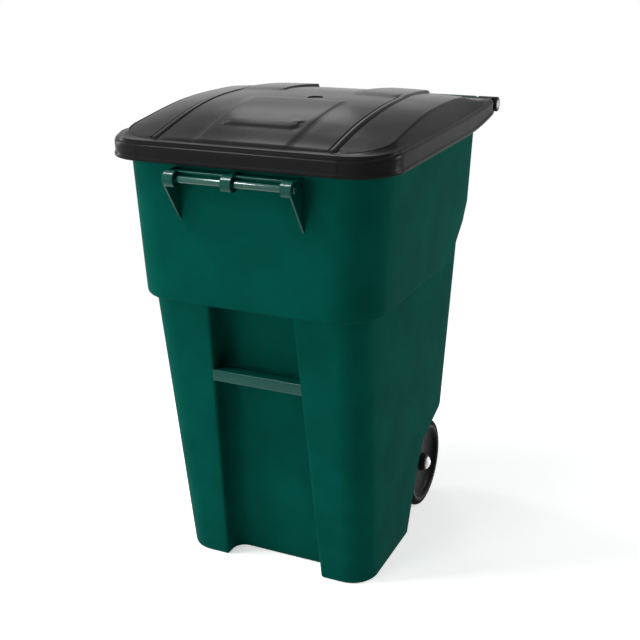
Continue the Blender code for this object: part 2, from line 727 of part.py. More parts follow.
def lid_side(first, edge_rings, drop, raised):
    """Points and faces of the lid's outer or inner side, from its crown out to the skirt's edge."""
    rows = crown_rows()
    width = len(crown_columns(rows[0]))
    points = [
        (x, y, dome_height(y) - drop + raised * relief(abs(column - width // 2), y))
        for y in rows for column, x in enumerate(crown_columns(y))
    ]
    last = (len(rows) - 1) * width
    faces = [
        (first + low + step, first + low + step + 1, first + low + width + step + 1,
         first + low + width + step)
        for low in range(0, last, width) for step in range(width - 1)
    ]
    inner_rows = range(width, last, width)
    ring = [*range(width), *[row + width - 1 for row in inner_rows]]
    ring += [*range(last + width - 1, last - 1, -1), *[row for row in reversed(inner_rows)]]
    tracks = [
        track_at(points[index][1], points[index][0] / half_width(points[index][1], CROWN_BOX))
        for index in ring
    ]
    crown_edge = [points[index] for index in ring]
    rings = []
    for share, roll in ROLL_SHARES:
        outer = []
        for track, (x, y, z) in zip(tracks, crown_edge):
            toe_x, toe_y = place_on(track, TOE_BOX)
            here_x, here_y = toe_x + (x - toe_x) * share, toe_y + (y - toe_y) * share
            base = flange_height(here_y) - drop
            outer.append((here_x, here_y, base + (z - flange_height(y) + drop) * roll))
        rings.append(outer)
    for inset, height in edge_rings:
        places = [place_on(track, lid_box(inset)) for track in tracks]
        rings.append([(x, y, height(y)) for x, y in places])
    inside = [first + index for index in ring]
    for outer in rings:
        start = first + len(points)
        points += outer
        outside = list(range(start, start + len(outer)))
        faces += ring_faces(inside, outside)
        inside = outside
    return points, faces, inside


def ring_faces(inside, outside):
    """Band of faces between two matching rings."""
    count = len(inside)
    return [
        (inside[step], inside[(step + 1) % count], outside[(step + 1) % count], outside[step])
        for step in range(count)
    ]


def lid_shell():
    """Domed lid with its skirt, beads, pads and plate, as one closed shell."""
    corner = LID_EDGE_ROUND * EDGE_ROUND_SHARE
    outer_rings = [
        (LID_EDGE_ROUND, flange_height),
        (corner, lambda y: flange_height(y) - corner),
        (0.0, lambda y: flange_height(y) - LID_EDGE_ROUND),
        (0.0, skirt_bottom),
    ]
    inner_rings = [(LID_WALL, lambda y: flange_height(y) - LID_WALL), (LID_WALL, skirt_bottom)]
    points, faces, edge = lid_side(0, outer_rings, 0.0, 1)
    inner_points, inner_faces, inner_edge = lid_side(len(points), inner_rings, LID_WALL, 0)
    return solid("lid", points + inner_points, faces + inner_faces + ring_faces(edge, inner_edge))


def knuckle(side, word):
    """Hinge knuckle at a rear corner of the lid, with the neck that ties it to the flange."""
    inner = HANDLE_SPAN / 2 + KNUCKLE_GAP
    ends = sorted((side * inner, side * (LID_WIDTH / 2 - CLEAR)))
    barrel = rod(f"knuckle_{word}", HANDLE_Y, HINGE_HEIGHT, KNUCKLE_RADIUS, *ends)
    front = HANDLE_Y - KNUCKLE_RADIUS * 2
    low = flange_height(front) - LID_WALL / 2
    profile = [
        (front, low), (HANDLE_Y, HINGE_HEIGHT + KNUCKLE_RADIUS / 2),
        (HANDLE_Y, HINGE_HEIGHT + KNUCKLE_RADIUS * (1 - LID_WALL / LID_WIDTH)),
        (front, flange_height(front) + CLEAR),
    ]
    ends = sorted((side * (inner + CLEAR), side * (LID_WIDTH / 2 - LID_REAR_CORNER)))
    return barrel, prism(f"knuckle_neck_{word}", profile, *ends)


def build_lid():
    """Domed lid with its skirt, ribs and hinge knuckles."""
    lid = lid_shell()
    join(lid, *knuckle(-1, "left"), *knuckle(1, "right"))
    notch = HANDLE_SPAN / 2 + KNUCKLE_GAP - CLEAR
    low, high = HINGE_HEIGHT - SKIRT_DROP * 2, HINGE_HEIGHT + DOME_HEIGHT
    cut(lid, block("rear_notch", -notch, notch, LID_EDGE_Y, HANDLE_Y + HANDLE_RADIUS * 2, low, high))
    for side, word in ((-1, "left"), (1, "right")):
        ends = sorted((side * HANDLE_SPAN / 2, side * LID_WIDTH))
        cut(lid, rod(f"knuckle_bore_{word}", HANDLE_Y, HINGE_HEIGHT, PIN_RADIUS + CLEAR, *ends))
        inner_x = LID_WIDTH / 2 - PIN_HEAD_THICKNESS - CLEAR * 2
        ends = sorted((side * inner_x, side * LID_WIDTH))
        cut(lid, rod(f"head_bore_{word}", HANDLE_Y, HINGE_HEIGHT, PIN_HEAD_RADIUS + CLEAR, *ends))
    lid.data.materials.append(finish("charcoal_polyethylene", (0.030, 0.028, 0.029), 0.4))
    return lid


def build_hinge_pin(side, word):
    """Headed pin through a knuckle into the handle's end."""
    head = LID_WIDTH / 2 - CLEAR
    neck = head - PIN_HEAD_THICKNESS
    tip = HANDLE_SPAN / 2 - PIN_GRIP
    rings = [
        (tip, PIN_RADIUS - CLEAR), (tip + CLEAR * 2, PIN_RADIUS), (neck, PIN_RADIUS),
        (neck, PIN_HEAD_RADIUS), (head, PIN_HEAD_RADIUS),
    ]
    stack = [
        [(side * x, y, z) for y, z in circle(HANDLE_Y, HINGE_HEIGHT, radius)] for x, radius in rings
    ]
    item = loft(f"hinge_pin_{word}", stack)
    item.data.materials.append(finish(f"pin_steel_{word}", (0.35, 0.35, 0.36), 0.35, 1.0))


def axle_chain():
    """Distances from the middle to each piece on the axle, from the bracket outwards."""
    places = {"spacer": BRACKET_OUTER + CLEAR}
    places["bush_in"] = places["spacer"] + SPACER_LENGTH + CLEAR
    places["hub"] = places["bush_in"] + BUSH_FLANGE + CLEAR
    places["bush_out"] = places["hub"] + HUB_LENGTH + CLEAR
    places["washer"] = places["bush_out"] + BUSH_FLANGE + CLEAR
    places["cap"] = places["washer"] + WASHER_THICKNESS + CLEAR
    places["end"] = places["cap"] + AXLE_END_REACH
    return places


def build_axle(places):
    """Steel axle."""
    item = rod("axle", AXLE_Y, AXLE_Z, AXLE_RADIUS, -places["end"], places["end"])
    item.data.materials.append(finish("axle_steel", (0.45, 0.45, 0.46), 0.35, 1.0))


def ring_profile(start, length, inner, outer):
    """Square profile of a ring on the axle."""
    return [(start, inner), (start + length, inner), (start + length, outer), (start, outer)]


def build_wheel(side, word, places):
    """Wheel, tyre, bushes, spacer, washer and cap of one side."""
    bore = AXLE_RADIUS + CLEAR
    bush_radius = bore + BUSH_WALL
    seat = WHEEL_RADIUS - TYRE_DEPTH
    hub, middle = places["hub"], places["hub"] + HUB_LENGTH / 2
    half = WHEEL_WIDTH / 2
    lip = TYRE_ROUND / 2
    web_low, web_high = middle + half - WEB_DISH * 2, middle + half - WEB_DISH * 2 + WEB_WALL
    rim_in = seat - RIM_WALL
    wheel = turned(f"wheel_{word}", [
        (hub, bush_radius + CLEAR), (hub + HUB_LENGTH, bush_radius + CLEAR),
        (hub + HUB_LENGTH, HUB_RADIUS - lip / 2), (hub + HUB_LENGTH - lip / 2, HUB_RADIUS),
        (web_high + WEB_DISH / 2, HUB_RADIUS + lip / 2),
        (web_high - WEB_DISH / 2, HUB_RADIUS + WEB_DISH * 2),
        (web_high, rim_in - WEB_DISH), (middle + half - lip, rim_in),
        (middle + half, rim_in + lip / 2), (middle + half, seat - CLEAR),
        (middle - half, seat - CLEAR), (middle - half, rim_in + lip / 2), (middle - half + lip, rim_in),
        (web_low, rim_in - WEB_DISH), (web_low - WEB_DISH / 2, HUB_RADIUS + WEB_DISH * 2),
        (web_low - WEB_DISH, HUB_RADIUS + lip / 2), (hub + lip / 2, HUB_RADIUS),
        (hub, HUB_RADIUS - lip / 2),
    ], side)
    wheel.data.materials.append(finish(f"wheel_plastic_{word}", (0.020, 0.020, 0.021), 0.4))
    side_x, tread_radius = middle + half - TYRE_ROUND, WHEEL_RADIUS - TYRE_ROUND
    turns = [math.radians(angle) for angle in (90, 60, 30, 0)]
    outer = [
        (side_x + TYRE_ROUND * math.cos(turn), tread_radius + TYRE_ROUND * math.sin(turn))
        for turn in turns
    ]
    mirrored = [(middle * 2 - x, radius) for x, radius in outer[::-1]]
    tyre = turned(f"tyre_{word}", [*mirrored, *outer, (middle + half, seat), (middle - half, seat)], side)
    tyre.data.materials.append(finish(f"tyre_rubber_{word}", (0.012, 0.012, 0.012), 0.6))
    inner_start = places["bush_in"]
    bush_in = turned(f"hub_bush_inner_{word}", [
        (inner_start, bore), (hub + BUSH_LENGTH, bore), (hub + BUSH_LENGTH, bush_radius),
        (hub - CLEAR, bush_radius), (hub - CLEAR, BUSH_FLANGE_RADIUS), (inner_start, BUSH_FLANGE_RADIUS),
    ], side, SMALL_STEPS)
    outer_end = places["bush_out"] + BUSH_FLANGE
    hub_end = hub + HUB_LENGTH
    bush_out = turned(f"hub_bush_outer_{word}", [
        (hub_end - BUSH_LENGTH, bore), (outer_end, bore), (outer_end, BUSH_FLANGE_RADIUS),
        (hub_end + CLEAR, BUSH_FLANGE_RADIUS), (hub_end + CLEAR, bush_radius),
        (hub_end - BUSH_LENGTH, bush_radius),
    ], side, SMALL_STEPS)
    for bush in (bush_in, bush_out):
        bush.data.materials.append(finish(f"{bush.name}_nylon", (0.55, 0.53, 0.48), 0.45))
    spacer_ring = ring_profile(places["spacer"], SPACER_LENGTH, bore, SPACER_RADIUS)
    spacer = turned(f"axle_spacer_{word}", spacer_ring, side, SMALL_STEPS)
    spacer.data.materials.append(finish(f"spacer_plastic_{word}", (0.03, 0.03, 0.03), 0.45))
    washer_ring = ring_profile(places["washer"], WASHER_THICKNESS, bore, WASHER_RADIUS)
    washer = turned(f"axle_washer_{word}", washer_ring, side, SMALL_STEPS)
    washer.data.materials.append(finish(f"washer_zinc_{word}", (0.55, 0.55, 0.56), 0.35, 1.0))
    build_cap(side, word, places)


def build_cap(side, word, places):
    """Push cap over the end of the axle."""
    start, end = places["cap"], places["cap"] + CAP_DEPTH
    bore = AXLE_RADIUS + CLEAR
    floor = places["end"] + CLEAR
    shoulder = CAP_RADIUS - CAP_WALL
    outer = [(start, CAP_RADIUS), (start + CAP_WALL, CAP_RADIUS), (start + CAP_WALL, shoulder)]
    for angle in (25, 50, 75):
        turn = math.radians(angle)
        reach = CAP_WALL + (CAP_DEPTH - CAP_WALL) * math.sin(turn)
        outer.append((start + reach, shoulder * math.cos(turn)))
    outer.append((end, shoulder * math.cos(math.radians(88))))
    inner = [(floor, shoulder * math.cos(math.radians(88))), (floor, bore), (start, bore)]
    rings = outer + inner
    stack = [
        [(side * x, y, z) for y, z in circle(AXLE_Y, AXLE_Z, radius)] for x, radius in rings
    ]
    count = SMALL_STEPS
    points = [point for ring in stack for point in ring]
    faces = []
    for level in range(len(stack)):
        here, there = level * count, (level + 1) % len(stack) * count
        if level == len(outer) - 1:
            continue
        for step in range(count):
            following = (step + 1) % count
            faces.append((here + step, here + following, there + following, there + step))
    last = (len(outer) - 1) * count
    faces.append(tuple(range(last, last + count)))
    faces.append(tuple(range(last + count, last + 2 * count)))
    cap = solid(f"axle_cap_{word}", points, faces)
    cap.data.materials.append(finish(f"cap_zinc_{word}", (0.75, 0.75, 0.76), 0.25, 1.0))


def build():
    """Build the whole container."""
    clear_scene()
    build_body()
    build_lift_bar()
    build_lid()
    places = axle_chain()
    build_axle(places)
    for side, word in ((-1, "left"), (1, "right")):
        build_hinge_pin(side, word)
        build_wheel(side, word, places)


build()
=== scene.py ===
"""Looks of a two-wheeled rollout waste container with a hinged domed lid.

Metres, +Z up, -Y is the front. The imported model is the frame, and every piece is made round it.
"""

import json
import math

import bpy
from mathutils import Matrix, Vector

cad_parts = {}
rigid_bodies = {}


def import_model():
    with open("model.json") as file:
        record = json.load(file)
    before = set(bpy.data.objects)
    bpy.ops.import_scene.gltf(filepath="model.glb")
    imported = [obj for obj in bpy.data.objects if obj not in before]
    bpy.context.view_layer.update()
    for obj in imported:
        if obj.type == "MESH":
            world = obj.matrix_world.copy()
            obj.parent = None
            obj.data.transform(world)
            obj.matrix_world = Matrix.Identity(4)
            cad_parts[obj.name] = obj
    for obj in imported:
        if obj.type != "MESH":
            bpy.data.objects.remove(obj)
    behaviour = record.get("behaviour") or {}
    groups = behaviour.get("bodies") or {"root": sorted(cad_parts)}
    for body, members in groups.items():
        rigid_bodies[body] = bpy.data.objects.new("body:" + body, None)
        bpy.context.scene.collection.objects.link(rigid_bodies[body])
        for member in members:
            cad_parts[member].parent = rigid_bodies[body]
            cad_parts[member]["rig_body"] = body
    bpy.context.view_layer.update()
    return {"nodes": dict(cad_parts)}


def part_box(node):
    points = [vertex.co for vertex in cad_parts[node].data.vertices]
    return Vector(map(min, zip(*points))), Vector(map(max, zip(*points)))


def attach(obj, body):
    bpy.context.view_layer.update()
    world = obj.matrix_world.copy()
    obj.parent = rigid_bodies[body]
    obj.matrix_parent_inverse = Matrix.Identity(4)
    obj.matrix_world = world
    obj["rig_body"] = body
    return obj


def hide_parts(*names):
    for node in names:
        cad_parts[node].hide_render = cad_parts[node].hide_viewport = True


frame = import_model()
bpy.ops.object.select_all(action="DESELECT")

# Places read from the frame
BIN_LOW, BIN_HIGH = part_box("bin_body")
LID_LOW, LID_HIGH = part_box("lid")
AXLE_LOW, AXLE_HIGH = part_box("axle")
PIN_LOW, PIN_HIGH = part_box("hinge_pin_right")
BAR_LOW, BAR_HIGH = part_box("lift_bar")
TYRE_LOW, TYRE_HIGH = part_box("tyre_right")
WHEEL_LOW, WHEEL_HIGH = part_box("wheel_right")
CAP_LOW, CAP_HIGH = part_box("axle_cap_right")
AXLE_Y, AXLE_Z = (AXLE_LOW.y + AXLE_HIGH.y) / 2, (AXLE_LOW.z + AXLE_HIGH.z) / 2
HANDLE_Y, HINGE_Z = (PIN_LOW.y + PIN_HIGH.y) / 2, (PIN_LOW.z + PIN_HIGH.z) / 2
BOSS_Y, LIFT_Z = (BAR_LOW.y + BAR_HIGH.y) / 2, (BAR_LOW.z + BAR_HIGH.z) / 2

# Bin
WALL = 0.005
SINK = 0.003                # how far a lug is let into the wall that carries it
CLEAR = 0.0003
OVERRUN = 0.01
BASE_WIDTH = 0.439
STEP_FRONT_WIDTH = 0.469
STEP_REAR_WIDTH = 0.509
BAND_LOW_WIDTH = 0.514
RIM_WIDTH = 0.546
RIM_Z = 0.930
STEP_Z = 0.616
FLOOR = 0.010
STEP_DEPTH = 0.021
FRONT_RAKE = 0.069
REAR_RAKE = 0.020
BASE_CORNER = 0.059
BAND_CORNER = 0.090
BAND_REAR_CORNER = 0.052
BAND_DRAFT = 0.002
LIFT_REACH = 0.054
HANDLE_REACH = 0.048
REAR_STEP_DEPTH = 0.048
REAR_STEP_LOW = 0.687
REAR_STEP_SLOPE = 0.8333    # rise over run of the band's sloping underside at the rear
STEP_BLEND = 0.006
BAND_EDGE = 0.007           # radius of the band's lower edge
BASE_EDGE = 0.006
CHANNEL_BASE_WIDTH = 0.224
CHANNEL_TOP_WIDTH = 0.182
CHANNEL_BASE_DEPTH = 0.048
CHANNEL_TOP_DEPTH = 0.062
CHANNEL_CORNER = 0.025
CHANNEL_EDGE = 0.006
FLANGE_REACH = 0.009
FLANGE_HEIGHT = 0.014
FLANGE_EDGE = 0.003
BAND_FRONT_Y = BIN_LOW.y + LIFT_REACH
BAND_REAR_Y = HANDLE_Y - HANDLE_REACH
LOWER_FRONT_Y = BAND_FRONT_Y + STEP_DEPTH
BASE_FRONT_Y = LOWER_FRONT_Y + FRONT_RAKE
LOWER_REAR_Y = BAND_REAR_Y - REAR_STEP_DEPTH
BASE_REAR_Y = LOWER_REAR_Y - REAR_RAKE

# Points along each stretch of the bin's half outline, front middle to rear middle
CHANNEL_STEPS = (4, 6, 4, 5)
FRONT_STEPS = 4
CORNER_STEPS = 12
SIDE_STEPS = 10
REAR_STEPS = 6
LOWER_LEVELS = 12
BAND_LEVELS = 7

# Wheel wells and the recess between them
WELL_INNER = 0.151
WELL_FRONT_GAP = 0.028
WELL_LEAN = 0.285
WELL_ROOF_GAP = 0.046
WELL_ROOF_SLOPE = 0.438
WELL_SHOULDER = 0.054
WELL_ROUND = 0.016
RECESS_SETBACK = 0.006
RECESS_HEADROOM = 0.008
WHEEL_RADIUS = TYRE_HIGH.z - AXLE_Z

# Lift bar group
BOSS_RADIUS = 0.016
BOSS_LENGTH = 0.022
GUSSET_SPAN = 0.262
GUSSET_THICKNESS = 0.004
GUSSET_DROP = 0.094
LEDGE_THICKNESS = 0.004
LEDGE_DROP = 0.003
LEDGE_OVERLAP = 0.006
WEB_THICKNESS = 0.008

# Grip bar
GRIP_TOP = 0.467
GRIP_HEIGHT = 0.027
GRIP_DEPTH = 0.034

# Handle
HANDLE_RADIUS = 0.016
HANDLE_SPAN = 0.492
ARM_THICKNESS = 0.014
ARM_FOOT = 0.052
ARM_NECK = 0.030

# Axle brackets
BRACKET_OUTER = 0.147
BRACKET_THICKNESS = 0.010
BRACKET_PITCH = 0.087
BRACKET_HALF_DEPTH = 0.022
BRACKET_CHIN = 0.016

# Lid
LID_WALL = 0.004
LID_FRONT_Y = LID_LOW.y
LID_REAR_Y = HANDLE_Y - 0.012
LID_EDGE_Y = HANDLE_Y - 0.024
LID_HALF = LID_HIGH.x
LID_FRONT_CORNER = 0.093
LID_REAR_CORNER = 0.022
RIM_START = 0.0135          # inset at which the flange starts to roll down to the lip
HEM_HEIGHT = 0.0055
SKIRT_DROP = 0.034
SKIRT_REAR_LIFT = 0.020
SKIRT_LIFT_START = 0.222
LID_REAR_RISE = 0.010
LID_RISE_START = 0.260
LIP_SIDE_RISE = 0.002       # how much higher the lip stands along the sides than at the front
TOE_FRONT_Y = LID_FRONT_Y + 0.026
FRONT_FALL = 0.0055         # how far the lip lies below the flange along the front
FALL_START = 0.0112
FALL_WIDTH = 0.0016
TOE_REAR_Y = HANDLE_Y - 0.100
TOE_BOX = (TOE_FRONT_Y, TOE_REAR_Y, 0.277, 0.266, 0.085, 0.054)
CREASE_SHARES = (
    (0.00, 0.0), (0.06, 0.0050), (0.152, 0.0125), (0.227, 0.0185), (0.296, 0.0240), (0.375, 0.0295),
    (0.45, 0.0335), (0.543, 0.0360), (0.654, 0.0365), (0.814, 0.0335), (0.92, 0.0270), (1.00, 0.0190),
)
ROLL_WIDTH = 0.025          # side strip of the dome that is drawn in rings
END_ROLL = 0.012
CROWN_BOX = (
    TOE_FRONT_Y + END_ROLL, TOE_REAR_Y - END_ROLL, 0.277 - ROLL_WIDTH, 0.266 - ROLL_WIDTH,
    0.085 - ROLL_WIDTH, 0.054 - ROLL_WIDTH,
)
DOME_HEIGHT = 0.0508
DOME_LENGTH = 0.546         # the height shares are spread over this length from the front
CROWN_SHARES = (
    (0.00, 0.05), (0.05, 0.17), (0.133, 0.41), (0.25, 0.71), (0.367, 0.90), (0.484, 0.99),
    (0.60, 1.00), (0.71, 0.97), (0.85, 0.79), (1.00, 0.51),
)
ROLL_SHARES = (0.8, 0.6, 0.4, 0.24, 0.18, 0.12, 0.06, 0.02)
SIDE_POWER = 3.0
END_POWER = 2.2
WALL_POWER = 1.7            # how fast the dome's side falls before it flattens towards the lip
BEAD_LINE = (
    (-0.33, 0.182), (-0.20, 0.184), (-0.10, 0.187), (0.0, 0.185), (0.10, 0.178), (0.20, 0.170), (0.26, 0.167),
)
BEAD_WIDTH = 0.012
BEAD_RISE = 0.0018
EDGE_STEP = 0.0015
BEAD_STEP = 0.0034          # width of the line on either side of a bead
BEAD_CUT = 0.0020
CREASE_CUT = 0.0028         # depth of the line along the dome's side edge
PAD_FRONT_INNER = 0.078
PAD_INNER = 0.089
PAD_FRONT_Y = TOE_REAR_Y - 0.225
PAD_REAR_RISE = 0.007
PAD_FRONT_RISE = 0.0014
PANEL_FRONT_WIDTH = 0.186
PANEL_REAR_WIDTH = 0.200
PANEL_REAR_Y = -0.058
PANEL_RISE = 0.0005
PANEL_EASE = 0.008
PLATE_WIDTH = 0.148
PLATE_DEPTH = 0.046
PLATE_RISE = 0.0016
PLATE_EASE = 0.014
PLATE_Y = LID_FRONT_Y + 0.122
GATE_PLACE = (0.028, -0.033)
GATE_RADIUS = 0.016
GATE_DEPTH = 0.0018
LID_ROW_PITCH = 0.011
KNUCKLE_RADIUS = 0.016
KNUCKLE_GAP = 0.006

# Camera, solved from the photograph
CAMERA_PLACE = (0.9368, -1.9807, 1.3045)
CAMERA_TURN = 24.92
CAMERA_TILT = 69.74
CAMERA_ROLL = -0.72
CAMERA_LENS = 60.02
SENSOR = 36.0


def linear(code):
    """Linear colour of an sRGB hex code."""
    parts = [int(code[step:step + 2], 16) / 255 for step in (0, 2, 4)]
    return [part / 12.92 if part <= 0.04045 else ((part + 0.055) / 1.055) ** 2.4 for part in parts] + [1.0]


def add_node(tree, kind, sockets=None, **settings):
    """Add a shader node with its settings, and values or links for its sockets."""
    item = tree.nodes.new(kind)
    for name, value in settings.items():
        setattr(item, name, value)
    for name, value in (sockets or {}).items():
        if isinstance(value, bpy.types.NodeSocket):
            tree.links.new(value, item.inputs[name])
        else:
            item.inputs[name].default_value = value
    return item


def moulded(name, colour, dark, roughness, grain, grain_height, sway_height, shine=0.5):
    """Moulded plastic or rubber: a fine grain of the mould's surface, slow waves from
    shrinkage, small shifts of colour, and gloss that varies a little."""
    material = bpy.data.materials.new(name)
    material.use_nodes = True
    tree = material.node_tree
    shader = tree.nodes["Principled BSDF"]
    place = add_node(tree, "ShaderNodeTexCoord").outputs["Object"]
    clouds = add_node(tree, "ShaderNodeTexNoise", {"Vector": place, "Scale": 9.0, "Detail": 3.0})
    fine = add_node(tree, "ShaderNodeTexNoise", {"Vector": place, "Scale": 1 / grain, "Detail": 2.0})
    sway = add_node(tree, "ShaderNodeTexNoise", {"Vector": place, "Scale": 14.0, "Detail": 1.0})
    shade = add_node(tree, "ShaderNodeMapRange", {
        "Value": clouds.outputs["Fac"], "From Min": 0.3, "From Max": 0.7, "To Min": 0.0, "To Max": 1.0,
    })
    tint = add_node(tree, "ShaderNodeMixRGB", {
        "Fac": shade.outputs["Result"], "Color1": linear(dark), "Color2": linear(colour),
    })
    tree.links.new(tint.outputs["Color"], shader.inputs["Base Color"])
    gloss = add_node(tree, "ShaderNodeMapRange", {
        "Value": fine.outputs["Fac"], "From Min": 0.3, "From Max": 0.7,
        "To Min": roughness - 0.04, "To Max": roughness + 0.05,
    })
    tree.links.new(gloss.outputs["Result"], shader.inputs["Roughness"])
    wave = add_node(tree, "ShaderNodeBump", {
        "Height": sway.outputs["Fac"], "Distance": sway_height, "Strength": 1.0,
    })
    bump = add_node(tree, "ShaderNodeBump", {
        "Height": fine.outputs["Fac"], "Distance": grain_height, "Strength": 1.0,
        "Normal": wave.outputs["Normal"],
    })
    tree.links.new(bump.outputs["Normal"], shader.inputs["Normal"])
    shader.inputs["Specular IOR Level"].default_value = shine
    return material


def metal(name, colour, roughness, grain):
    """Plated or drawn metal with a fine, faint mottle in its gloss."""
    material = bpy.data.materials.new(name)
    material.use_nodes = True
    tree = material.node_tree
    shader = tree.nodes["Principled BSDF"]
    place = add_node(tree, "ShaderNodeTexCoord").outputs["Object"]
    fine = add_node(tree, "ShaderNodeTexNoise", {"Vector": place, "Scale": 1 / grain, "Detail": 3.0})
    gloss = add_node(tree, "ShaderNodeMapRange", {
        "Value": fine.outputs["Fac"], "From Min": 0.3, "From Max": 0.7,
        "To Min": roughness - 0.06, "To Max": roughness + 0.08,
    })
    tree.links.new(gloss.outputs["Result"], shader.inputs["Roughness"])
    bump = add_node(tree, "ShaderNodeBump", {
        "Height": fine.outputs["Fac"], "Distance": grain / 12, "Strength": 0.5,
    })
    tree.links.new(bump.outputs["Normal"], shader.inputs["Normal"])
    shader.inputs["Base Color"].default_value = linear(colour)
    shader.inputs["Metallic"].default_value = 1.0
    return material


def green_moulding():
    """Injection-moulded green polyethylene, for the bin's walls."""
    # The mould's satin grain breaks up reflections, so a wall shows broad, soft bands of one green.
    return moulded(
        "injection_moulded_green_polyethylene", "03493F", "034037", 0.50, 0.0012, 0.00003, 0.0010, 0.004,
    )


def handled_green():
    """Injection-moulded green polyethylene rubbed smooth by hands and lifters."""
    # Rubbing flattens the grain, so edges and rounds of the grip and lugs catch bright lines.
    return moulded(
        "hand_rubbed_green_polyethylene", "03453B", "033D35", 0.20, 0.0012, 0.00002, 0.0006, 0.18,
    )


def charcoal_moulding():
    """Injection-moulded charcoal polyethylene, for the lid."""
    # A smoother mould gives the lid a wide satin shine along its curves over a near-black ground.
    return moulded(
        "injection_moulded_charcoal_polyethylene", "1D1D1E", "19191A", 0.22, 0.0012, 0.00004, 0.0008, 0.030,
    )


def black_moulding():
    """Injection-moulded black polypropylene, for the wheel discs."""
    # The polished mould leaves the dish a soft grey shine round the hub, lighter than the tyre.
    return moulded(
        "injection_moulded_black_polypropylene", "0F0F10", "0C0C0D", 0.36, 0.0010, 0.00003, 0.0004, 0.05,
    )


def black_rubber():
    """Vulcanised black rubber, for the tyres."""
    # Carbon black makes it matt and deep black, so the tyre frames the disc as a dark ring.
    return moulded("vulcanised_black_rubber", "060606", "050505", 0.60, 0.0014, 0.00006, 0.0004, 0.02)


def green_powder_coat():
    """Steel tube under green powder coat, for the lift bar."""
    # The baked coat is glossy with a slight orange peel, so the bar carries one long pale streak.
    return moulded("powder_coated_green_steel", "06463B", "053F35", 0.16, 0.0016, 0.00002, 0.0, 0.55)


def turned_nylon():
    """Turned natural nylon, for the hub bushes."""
    # Unpigmented nylon is creamy white with a waxy, slightly soft shine.
    return moulded("turned_natural_nylon", "BDB8A6", "B3AE9C", 0.42, 0.0008, 0.00002, 0.0, 0.5)


def black_nylon():
    """Extruded black nylon tube, for the axle's spacers."""
    # Drawn through a die, it is evenly black with a dull, steady sheen.
    return moulded("extruded_black_nylon", "1C1C1C", "191919", 0.45, 0.0008, 0.00002, 0.0, 0.4)


def drawn_steel():
    """Cold-drawn bright steel, for the axle and the hinge pins."""
    # Drawing leaves a grey, fairly clear mirror with a fine mottle of oil and handling.
    return metal("cold_drawn_steel", "A9A9AA", 0.34, 0.0008)


def zinc_plate():
    """Zinc-plated pressed steel, for the washers and push caps."""
    # Plating turns the steel pale and silvery, with a soft, spread shine.
    return metal("zinc_plated_pressed_steel", "F0F0F0", 0.50, 0.0006)


def clean(piece, angle=30):
    """Merge doubles, turn faces out, put the origin at zero and shade by angle."""
    bpy.ops.object.select_all(action="DESELECT")
    piece.select_set(True)
    bpy.context.view_layer.objects.active = piece
    bpy.ops.object.transform_apply(location=True, rotation=True, scale=True)
    bpy.ops.object.mode_set(mode="EDIT")
    bpy.ops.mesh.select_all(action="SELECT")
    bpy.ops.mesh.remove_doubles(threshold=0.00002)
    bpy.ops.mesh.normals_make_consistent(inside=False)
    bpy.ops.object.mode_set(mode="OBJECT")
    bpy.ops.object.shade_smooth_by_angle(angle=math.radians(angle))
    bpy.ops.object.select_all(action="DESELECT")
    return piece


def dress(piece, name, material, body):
    """Name a finished piece, give it its material and body."""
    piece.name = name
    piece.data.name = name
    piece.data.materials.clear()
    piece.data.materials.append(material)
    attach(piece, body)
    return piece


def apply_all(piece):
    """Apply a piece's modifiers."""
    bpy.ops.object.select_all(action="DESELECT")
    piece.select_set(True)
    bpy.context.view_layer.objects.active = piece
    for step in list(piece.modifiers):
        bpy.ops.object.modifier_apply(modifier=step.name)
    return piece


def carve(piece, tools, operation="DIFFERENCE"):
    """Cut a piece with tools, or join them to it, and drop the tools."""
    for tool in tools:
        step = piece.modifiers.new(tool.name, "BOOLEAN")
        step.object = tool
        step.operation = operation
        step.solver = "EXACT"
    apply_all(piece)
    for tool in tools:
        bpy.data.objects.remove(tool, do_unlink=True)
    return piece


def bevel_edges(piece, width, segments, wanted):
    """Round the edges of a piece that are wanted by their middle point and face angle."""
    bpy.ops.object.select_all(action="DESELECT")
    piece.select_set(True)
    bpy.context.view_layer.objects.active = piece
    mesh = piece.data
    for group in (mesh.vertices, mesh.edges, mesh.polygons):
        for item in group:
            item.select = False
    faces = {}
    for face in mesh.polygons:
        for key in face.edge_keys:
            faces.setdefault(key, []).append(face.normal)
    for edge in mesh.edges:
        normals = faces.get(edge.key, [])
        if len(normals) != 2:
            continue
        middle = (mesh.vertices[edge.vertices[0]].co + mesh.vertices[edge.vertices[1]].co) / 2
        edge.select = wanted(middle, math.degrees(normals[0].angle(normals[1], 0.0)))
    bpy.ops.object.mode_set(mode="EDIT")
    bpy.ops.mesh.select_mode(type="EDGE")
    bpy.ops.mesh.bevel(offset=width, segments=segments, profile=0.5, clamp_overlap=True)
    bpy.ops.object.mode_set(mode="OBJECT")
    return piece


